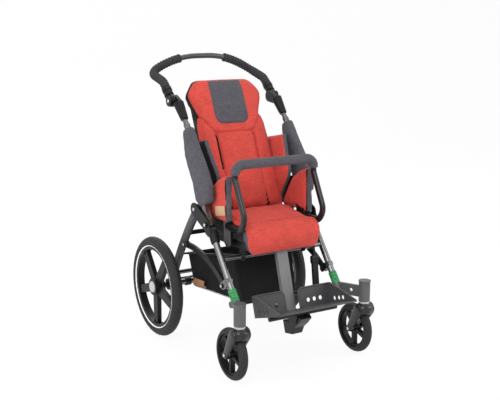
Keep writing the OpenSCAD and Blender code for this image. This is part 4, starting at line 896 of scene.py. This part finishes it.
def basket():
    """Cloth bag that hangs in the rim rods, narrower in front, with walls that sag inwards."""
    # corners of its side view: rear top, rear low, front low, front top
    rt, rl, fl, ft = (161.6, 340), (127, 211), (-150, 204), (-91, 392)
    rear_half, taper = 190.2, 71
    rows, n_side, n_end, n_corner = 14, 16, 18, 5
    r, side_sag, rear_sag, front_sag = 7.0, 7, 6, 8

    def half_at(y):
        return rear_half + (y - rt[0]) * taper / (rt[0] - fl[0])

    loops = []
    for i in range(rows + 1):
        h = i / rows
        ry, rz = rl[0] + (rt[0] - rl[0]) * h, rl[1] + (rt[1] - rl[1]) * h
        fy, fz = fl[0] + (ft[0] - fl[0]) * h, fl[1] + (ft[1] - fl[1]) * h
        sag = math.sin(math.pi * min(1, h * 1.02))
        length = ry - fy
        k = r / length
        pts = []

        def put(share, inset, t):
            y = fy + (ry - fy) * t
            z = fz + (rz - fz) * t
            pts.append((share * (half_at(y) - inset), y, z))

        def corner(share, first, t):
            for j in range(n_corner):
                a = first + math.pi / 2 * j / n_corner
                put(share, r - share * r * math.cos(a), t + k * math.sin(a))

        for j in range(n_side):
            t = k + (1 - 2 * k) * j / n_side
            put(1, sag * (side_sag * math.sin(math.pi * t) + 0.8 * math.sin(t * 31 + h * 5)), t)
        corner(1, 0.0, 1 - k)
        for j in range(n_end):
            s = j / n_end
            put(1 - 2 * s, r, 1 - rear_sag / length * sag * math.sin(math.pi * s))
        corner(-1, math.pi / 2, 1 - k)
        for j in range(n_side):
            t = 1 - k - (1 - 2 * k) * j / n_side
            put(-1, sag * (side_sag * math.sin(math.pi * t) + 0.8 * math.sin(t * 29 + h * 4)), t)
        corner(-1, math.pi, k)
        for j in range(n_end):
            s = j / n_end
            put(2 * s - 1, r, front_sag / length * sag * math.sin(math.pi * s))
        corner(1, 1.5 * math.pi, k)
        loops.append(pts)
    n = len(loops[0])
    verts = [at(*p) for lp in reversed(loops) for p in lp]
    # the floor: rings drawn in to the middle, which lies a little higher
    base = loops[0]
    c = np.mean(np.array(base), axis=0)
    rings = (0.86, 0.66, 0.42, 0.2)
    for s in rings:
        for p in base:
            q = c + (np.array(p) - c) * s
            q[2] += 3.5 * (1 - s) + 0.8 * math.sin(q[0] / 30) * math.sin(q[1] / 26)
            verts.append(at(*q))
    total = rows + 1 + len(rings)
    f = loop_faces(total, n, caps=False)
    f.append(tuple(range((total - 1) * n, total * n)))
    o = make("basket_bag", verts, f, DARKCLOTH, "chassis", "black_fabric")
    m = o.modifiers.new("cloth_thickness", "SOLIDIFY")
    m.thickness = 2.6 * MM
    m.offset = -1.0
    swap_mesh(o)
    subdivide(o)
    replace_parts(done(o), "basket")
    corners = [(134, 216), (52, 221), (40, 254), (126, 249)]
    patch("basket_patch", o, corners, BROWNPATCH, "chassis", "black_fabric")

    # pale piping a little over the lower edge of each side
    rise, piping = 6, 1.3 * MM
    for sign, tag in SIDES:
        ends = [(fl[0] + 14, fl[1] + rise), (rl[0] - 10, rl[1] + rise)]
        pts = [at(sign * (half_at(y) - 0.5), y, z) for y, z in ends]
        path = fillet_path(pts, [0, 0], 0.004)
        done(sweep("basket_seam_" + tag, path, lambda r, t, a: piping, WHITECLOTH, "chassis",
                   "black_fabric", n=10))


# Rear tyres


STRIPE_RING = ((162.4, 15.0), (162.8, 17.0), (165.2, 19.2), (166.8, 18.6), (164.6, 14.6))


def rear_tyre(sign, node, body):
    """Treaded tyre, with a pale line on both faces where its side wall meets the rim."""
    c, r, bead, blocks = 178.0, 22.0, 162.0, 44
    lim = math.acos((bead - c) / r)
    n_sec, n_rot, n_line = 40, 300, 160

    def turned(rad, x, th):
        return at(sign * WHEEL_X + x, AXLE.x + rad * math.sin(th), AXLE.y - rad * math.cos(th))

    verts = []
    for i in range(n_rot):
        th = 2 * math.pi * i / n_rot
        for j in range(n_sec + 1):
            ph = -lim + 2 * lim * j / n_sec
            rr = r
            if abs(ph) < 1.15:
                wave = (th * blocks / (2 * math.pi) + abs(ph) * 1.25) % 1.0
                cut = 1.5 * (1 / (1 + math.exp(-(abs(wave - 0.5) - 0.36) * 60)))
                ring = 1.2 * math.exp(-((abs(ph) - 0.30) / 0.06) ** 2)
                ring += 1.0 * math.exp(-((abs(ph) - 0.86) / 0.05) ** 2)
                rr -= max(cut * (0.25 if abs(ph) < 0.2 else 1.0), ring)
            else:
                rr -= 0.35 * math.exp(-((abs(ph) - 1.55) / 0.06) ** 2)
            verts.append(turned(c + rr * math.cos(ph), rr * math.sin(ph), th))
    faces = loop_faces(n_rot, n_sec + 1, closed_rows=True)
    o = make(node + "_tread", verts, faces, RUBBER, body, "tyre_rubber")
    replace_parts(done(o), node)
    for face, name in FACES:
        angles = [2 * math.pi * i / n_line for i in range(n_line)]
        verts = [turned(rad, face * x, th) for th in angles for rad, x in STRIPE_RING]
        faces = loop_faces(n_line, len(STRIPE_RING), closed_rows=True)
        done(make("%s_line_%s" % (node, name), verts, faces, STRIPE, body, "hub_grey"))


# Small fittings


def bolt(name, pos, axis, d, h, body):
    """Button-head bolt with a hex socket."""
    ax = Vector(axis).normalized()
    u = ax.orthogonal().normalized()
    w = ax.cross(u)
    n = 24
    prof = [(0.5, 0.0), (0.5, 0.45), (0.47, 0.75), (0.40, 0.93), (0.30, 1.0)]
    verts = []
    for r, k in prof:
        for i in range(n):
            a = 2 * math.pi * i / n
            verts.append(pos + (u * math.cos(a) + w * math.sin(a)) * d * r + ax * h * k)
    for k in (0.98, 0.35):
        for i in range(n):
            a = 2 * math.pi * i / n
            hexr = 0.24 / max(0.866, math.cos((a + math.pi / 6) % (math.pi / 3) - math.pi / 6))
            verts.append(pos + (u * math.cos(a) + w * math.sin(a)) * d * hexr * 0.87 + ax * h * k)
    done(make(name, verts, loop_faces(len(verts) // n, n), STEEL, body, "bright_steel", smooth=False))


def fittings():
    """Bolts of the knuckles, legs, handle hinges, caster axles and side stays."""
    knuckle_x, leg_x, hinge_x, stay_x, fork_half = 245, 240, 246, 237, 33
    for sign, tag in SIDES:
        out = (sign, 0, 0)
        bolt("knuckle_bolt_" + tag, at(sign * knuckle_x, *PIVOT), out, 0.013, 0.003, "chassis")
        bolt("leg_bolt_" + tag, at(sign * leg_x, 12, 550), out, 0.014, 0.004, "chassis")
        bolt("hinge_bolt_" + tag, at(sign * hinge_x, *HINGE), out, 0.014, 0.003, "handle")
        caster = "caster_left" if sign > 0 else "caster_right"
        for face, name in FACES:
            pos = at(sign * CASTER_X + face * fork_half, *CASTER_AXLE)
            bolt("fork_bolt_%s_%s" % (tag, name), pos, (face, 0, 0), 0.012, 0.003, caster)
        for k, p in enumerate(((107, 393), (-185, 301))):
            bolt("stay_bolt_%s%d" % (tag, k), at(sign * stay_x, *p), out, 0.012, 0.003, "chassis")


def fork_hoods():
    """Rounded casing of the caster forks: a dome over the crown and a swollen outer face on each arm."""
    crown, tip = CASTER_CROWN, CASTER_AXLE
    crown_r, tip_r, face = 24.4, 12.6, 28.6
    crown_swell, tip_swell = 8.0, 2.6
    dome_x, dome_y, dome_z, dome_top, power = 36.5, 32.0, 25, 0.92, 2.6
    run = tip - crown
    turn = math.acos((crown_r - tip_r) / run.length)
    start = math.atan2(run.y, run.x)
    n_end, rows, n_dome = 14, 8, 40
    outline = []
    for k in range(n_end + 1):
        a = start + turn + (2 * math.pi - 2 * turn) * k / n_end
        outline.append((crown, crown_r, crown_swell, a))
    for k in range(n_end + 1):
        a = start - turn + 2 * turn * k / n_end
        outline.append((tip, tip_r, tip_swell, a))
    for sign, tag, body in ((1, "l", "caster_left"), (-1, "r", "caster_right")):
        for side, name in FACES:
            verts = []
            for i in range(rows + 1):
                s = 1 - i / rows
                for c, r, most, a in outline:
                    swell = most * math.sqrt(max(0.0, 1 - s ** 2.4))
                    q = c + Vector((math.cos(a), math.sin(a))) * r * max(s, 0.02)
                    verts.append(at(sign * CASTER_X + side * (face + swell), q.x, q.y))
            faces = loop_faces(rows + 1, len(outline))
            done(make("fork_cheek_%s_%s" % (tag, name), verts, faces, FORK, body, "dark_plastic"))
        verts = []
        levels = [(k / 10, 1.0) for k in range(11)]
        levels += [(k, 0.93) for k, grow in reversed(levels)]
        for k, grow in levels:
            for j in range(n_dome):
                a = 2 * math.pi * j / n_dome
                # the dome stops over the tyre at the rear, and reaches down over the crown in front
                low = 0.30 - 0.95 * max(0.0, -math.sin(a))
                h = low + (dome_top - low) * k
                f = grow * (1 - abs(h) ** power) ** (1 / power)
                y = crown.x + dome_y * f * math.sin(a)
                verts.append(at(sign * CASTER_X + dome_x * f * math.cos(a), y, crown.y + dome_z * h))
        faces = loop_faces(len(levels), n_dome, closed_rows=True)
        done(make("fork_dome_" + tag, verts, faces, FORK, body, "dark_plastic"))


def hinge_sleeves():
    """Tapered plastic sleeves above and below each handle hinge, thicker than the tubes they cover."""
    shroud = Vector((156.2, 934))
    arm = Vector((math.cos(ARM_LEAN), math.sin(ARM_LEAN)))
    post = Vector((math.sin(POST_LEAN), math.cos(POST_LEAN)))
    steps = 12
    for sign, tag in SIDES:
        for name, x, first, last, wide, narrow, body in (
            ("handle_neck", ARM_X, HINGE + 26 * arm, HINGE + 50 * arm, 19.0, 17.5, "handle"),
            ("frame_shroud", SIDE_X, shroud, shroud - 66 * post, 20.5, 15.6, "push_frame"),
        ):
            path = [at(sign * x, *first.lerp(last, k / steps)) for k in range(steps + 1)]
            done(sweep("%s_%s" % (name, tag), path, lambda r, t, a: (wide + (narrow - wide) * r / t) * MM,
                       PLASTIC, body, "dark_plastic"))


TRAY_TILT = math.radians(17.5)
TRAY_PIN = (-300, 190)


def tray_at(x, y, z):
    """Point of the foot tray: across, along it from its pin, and over it."""
    along, over = math.cos(TRAY_TILT), math.sin(TRAY_TILT)
    return at(x, TRAY_PIN[0] + y * along + z * over, TRAY_PIN[1] - y * over + z * along)


CLAMP = [(-300, 165), (-268, 160), (-283, 113), (-328, 121), (-340, 147), (-366, 170), (-390, 196),
         (-380, 204), (-352, 172)]


def foot_details():
    """Raised lip round the heel tabs and side walls, and the clamp under the tray."""
    inner, half, base, top, heel, step, front = 32.0, 164.0, 14.0, 86.0, -9, -31, -174.0
    lip = 3.7 * MM
    route = [(inner, heel, base), (inner, heel, top), (half, heel, top), (half, step, top),
             (half, front, base + 1)]
    for sign, tag in SIDES:
        pts = [tray_at(sign * x, y, z) for x, y, z in route]
        path = fillet_path(pts, [0, 0.018, 0.010, 0.012, 0], 0.004)
        done(sweep("tray_lip_" + tag, path, lambda r, t, a: lip, FOOT, "foot_tray", "footrest_plastic", n=14))
    wide, eased, ease = 24.0, 21.0, 0.94
    mid = Vector((-322, 150))
    verts = []
    for x, shrink in ((-wide, ease), (-eased, 1.0), (eased, 1.0), (wide, ease)):
        for y, z in CLAMP:
            q = mid + (Vector((y, z)) - mid) * shrink
            verts.append(at(x, q.x, q.y))
    faces = loop_faces(4, len(CLAMP))
    done(make("tray_clamp", verts, faces, BLACKSTEEL, "foot_tray", "black_steel", smooth=False))


# Build

seat_cushion()
back = back_cushion()
head_insert(back)
hip_pads()
thorax_pads()
side_wings()
bar_sleeve()
grips()
basket()
rear_tyre(1, "rear_tyre_left", "rear_wheel_left")
rear_tyre(-1, "rear_tyre_right", "rear_wheel_right")
fittings()
fork_hoods()
foot_details()
hinge_sleeves()

# Stage, light, camera

WHITE = (1, 1, 1, 1)


def seen_share(t):
    """1 for the camera's rays and for those off glossy or through clear surfaces, else 0."""
    rays = add(t, "ShaderNodeLightPath")
    share = rays.outputs["Is Camera Ray"]
    for kind in ("Is Glossy Ray", "Is Transmission Ray"):
        either = add(t, "ShaderNodeMath", operation="MAXIMUM")
        t.links.new(share, either.inputs[0])
        t.links.new(rays.outputs[kind], either.inputs[1])
        share = either.outputs[0]
    return share


def stage():
    """White floor that bends up behind the buggy, mostly plain white where it is seen."""
    half, bend_y, bend_r, high, steps = 14.0, 3.2, 2.5, 14.0, 12
    prof = [(-half, 0.0), (bend_y, 0.0)]
    for k in range(1, steps + 1):
        a = math.pi / 2 * k / steps
        prof.append((bend_y + bend_r * math.sin(a), bend_r - bend_r * math.cos(a)))
    prof.append((bend_y + bend_r, high))
    verts = [(x, y, z) for y, z in prof for x in (-half, half)]
    faces = [(a, a + 1, a + 3, a + 2) for a in range(0, 2 * len(prof) - 2, 2)]
    me = bpy.data.meshes.new("floor")
    me.from_pydata(verts, [], faces)
    me.shade_smooth()
    o = place("floor", me)
    m, t, b = nodes_of("floor_white")
    link = t.links.new
    b.inputs["Base Color"].default_value = (0.90, 0.90, 0.90, 1)
    b.inputs["Roughness"].default_value = 0.9
    b.inputs["Specular IOR Level"].default_value = 0.1
    glow = add(t, "ShaderNodeEmission", Strength=1.0, Color=WHITE)
    part = add(t, "ShaderNodeMath", operation="MULTIPLY")
    part.inputs[1].default_value = 0.9
    mix = add(t, "ShaderNodeMixShader")
    link(seen_share(t), part.inputs[0])
    link(part.outputs[0], mix.inputs[0])
    link(b.outputs[0], mix.inputs[1])
    link(glow.outputs[0], mix.inputs[2])
    link(mix.outputs[0], t.nodes["Material Output"].inputs["Surface"])
    me.materials.append(m)


def lamp(name, pos, target, size, power):
    d = bpy.data.lights.new(name, "AREA")
    d.shape = "RECTANGLE"
    d.size, d.size_y = size
    d.energy = power
    o = place(name, d)
    o.location = pos
    o.rotation_mode = "QUATERNION"
    o.rotation_quaternion = (Vector(target) - Vector(pos)).to_track_quat("-Z", "Y")


stage()
lamp("key", (-2.6, -3.2, 3.6), (0, 0, 0.5), (2.4, 2.4), 85)
lamp("fill", (3.4, -2.4, 2.2), (0, 0, 0.6), (2.6, 2.6), 60)
lamp("left", (-3.4, -0.9, 1.5), (0, 0, 0.7), (2.4, 2.4), 42)
lamp("back", (0.6, 3.4, 3.2), (0, 0, 0.7), (3.0, 1.6), 55)
lamp("top", (0, 0.2, 4.2), (0, 0, 0.3), (3.0, 3.0), 35)
world = bpy.data.worlds.new("studio")
bpy.context.scene.world = world
world.use_nodes = True
wt = world.node_tree
soft_sky = wt.nodes["Background"]
soft_sky.inputs["Color"].default_value = WHITE
soft_sky.inputs["Strength"].default_value = 0.8
seen_sky = add(wt, "ShaderNodeBackground", Strength=1.0, Color=WHITE)
pick = add(wt, "ShaderNodeMixShader")
wt.links.new(seen_share(wt), pick.inputs[0])
wt.links.new(soft_sky.outputs[0], pick.inputs[1])
wt.links.new(seen_sky.outputs[0], pick.inputs[2])
wt.links.new(pick.outputs[0], wt.nodes["World Output"].inputs["Surface"])

cam = bpy.data.cameras.new("camera")
cam_o = place("camera", cam)
az, el, dist = math.radians(-31.58), math.radians(11.33), 3.4918
aim = Vector((0, SHIFT, 0.5627))
away = Vector((math.sin(az) * math.cos(el), -math.cos(az) * math.cos(el), math.sin(el)))
cam_o.location = aim + away * dist
cam_o.rotation_mode = "QUATERNION"
cam_o.rotation_quaternion = (-away).to_track_quat("-Z", "Y")
# focal length and width of the photograph in pixels
FOCAL_PX, PHOTO_PX, SENSOR_MM = 903.05, 500, 36.0
cam.sensor_width = SENSOR_MM
cam.sensor_fit = "HORIZONTAL"
cam.lens = FOCAL_PX / PHOTO_PX * SENSOR_MM
bpy.context.scene.camera = cam_o
bpy.context.scene.view_settings.view_transform = "Standard"
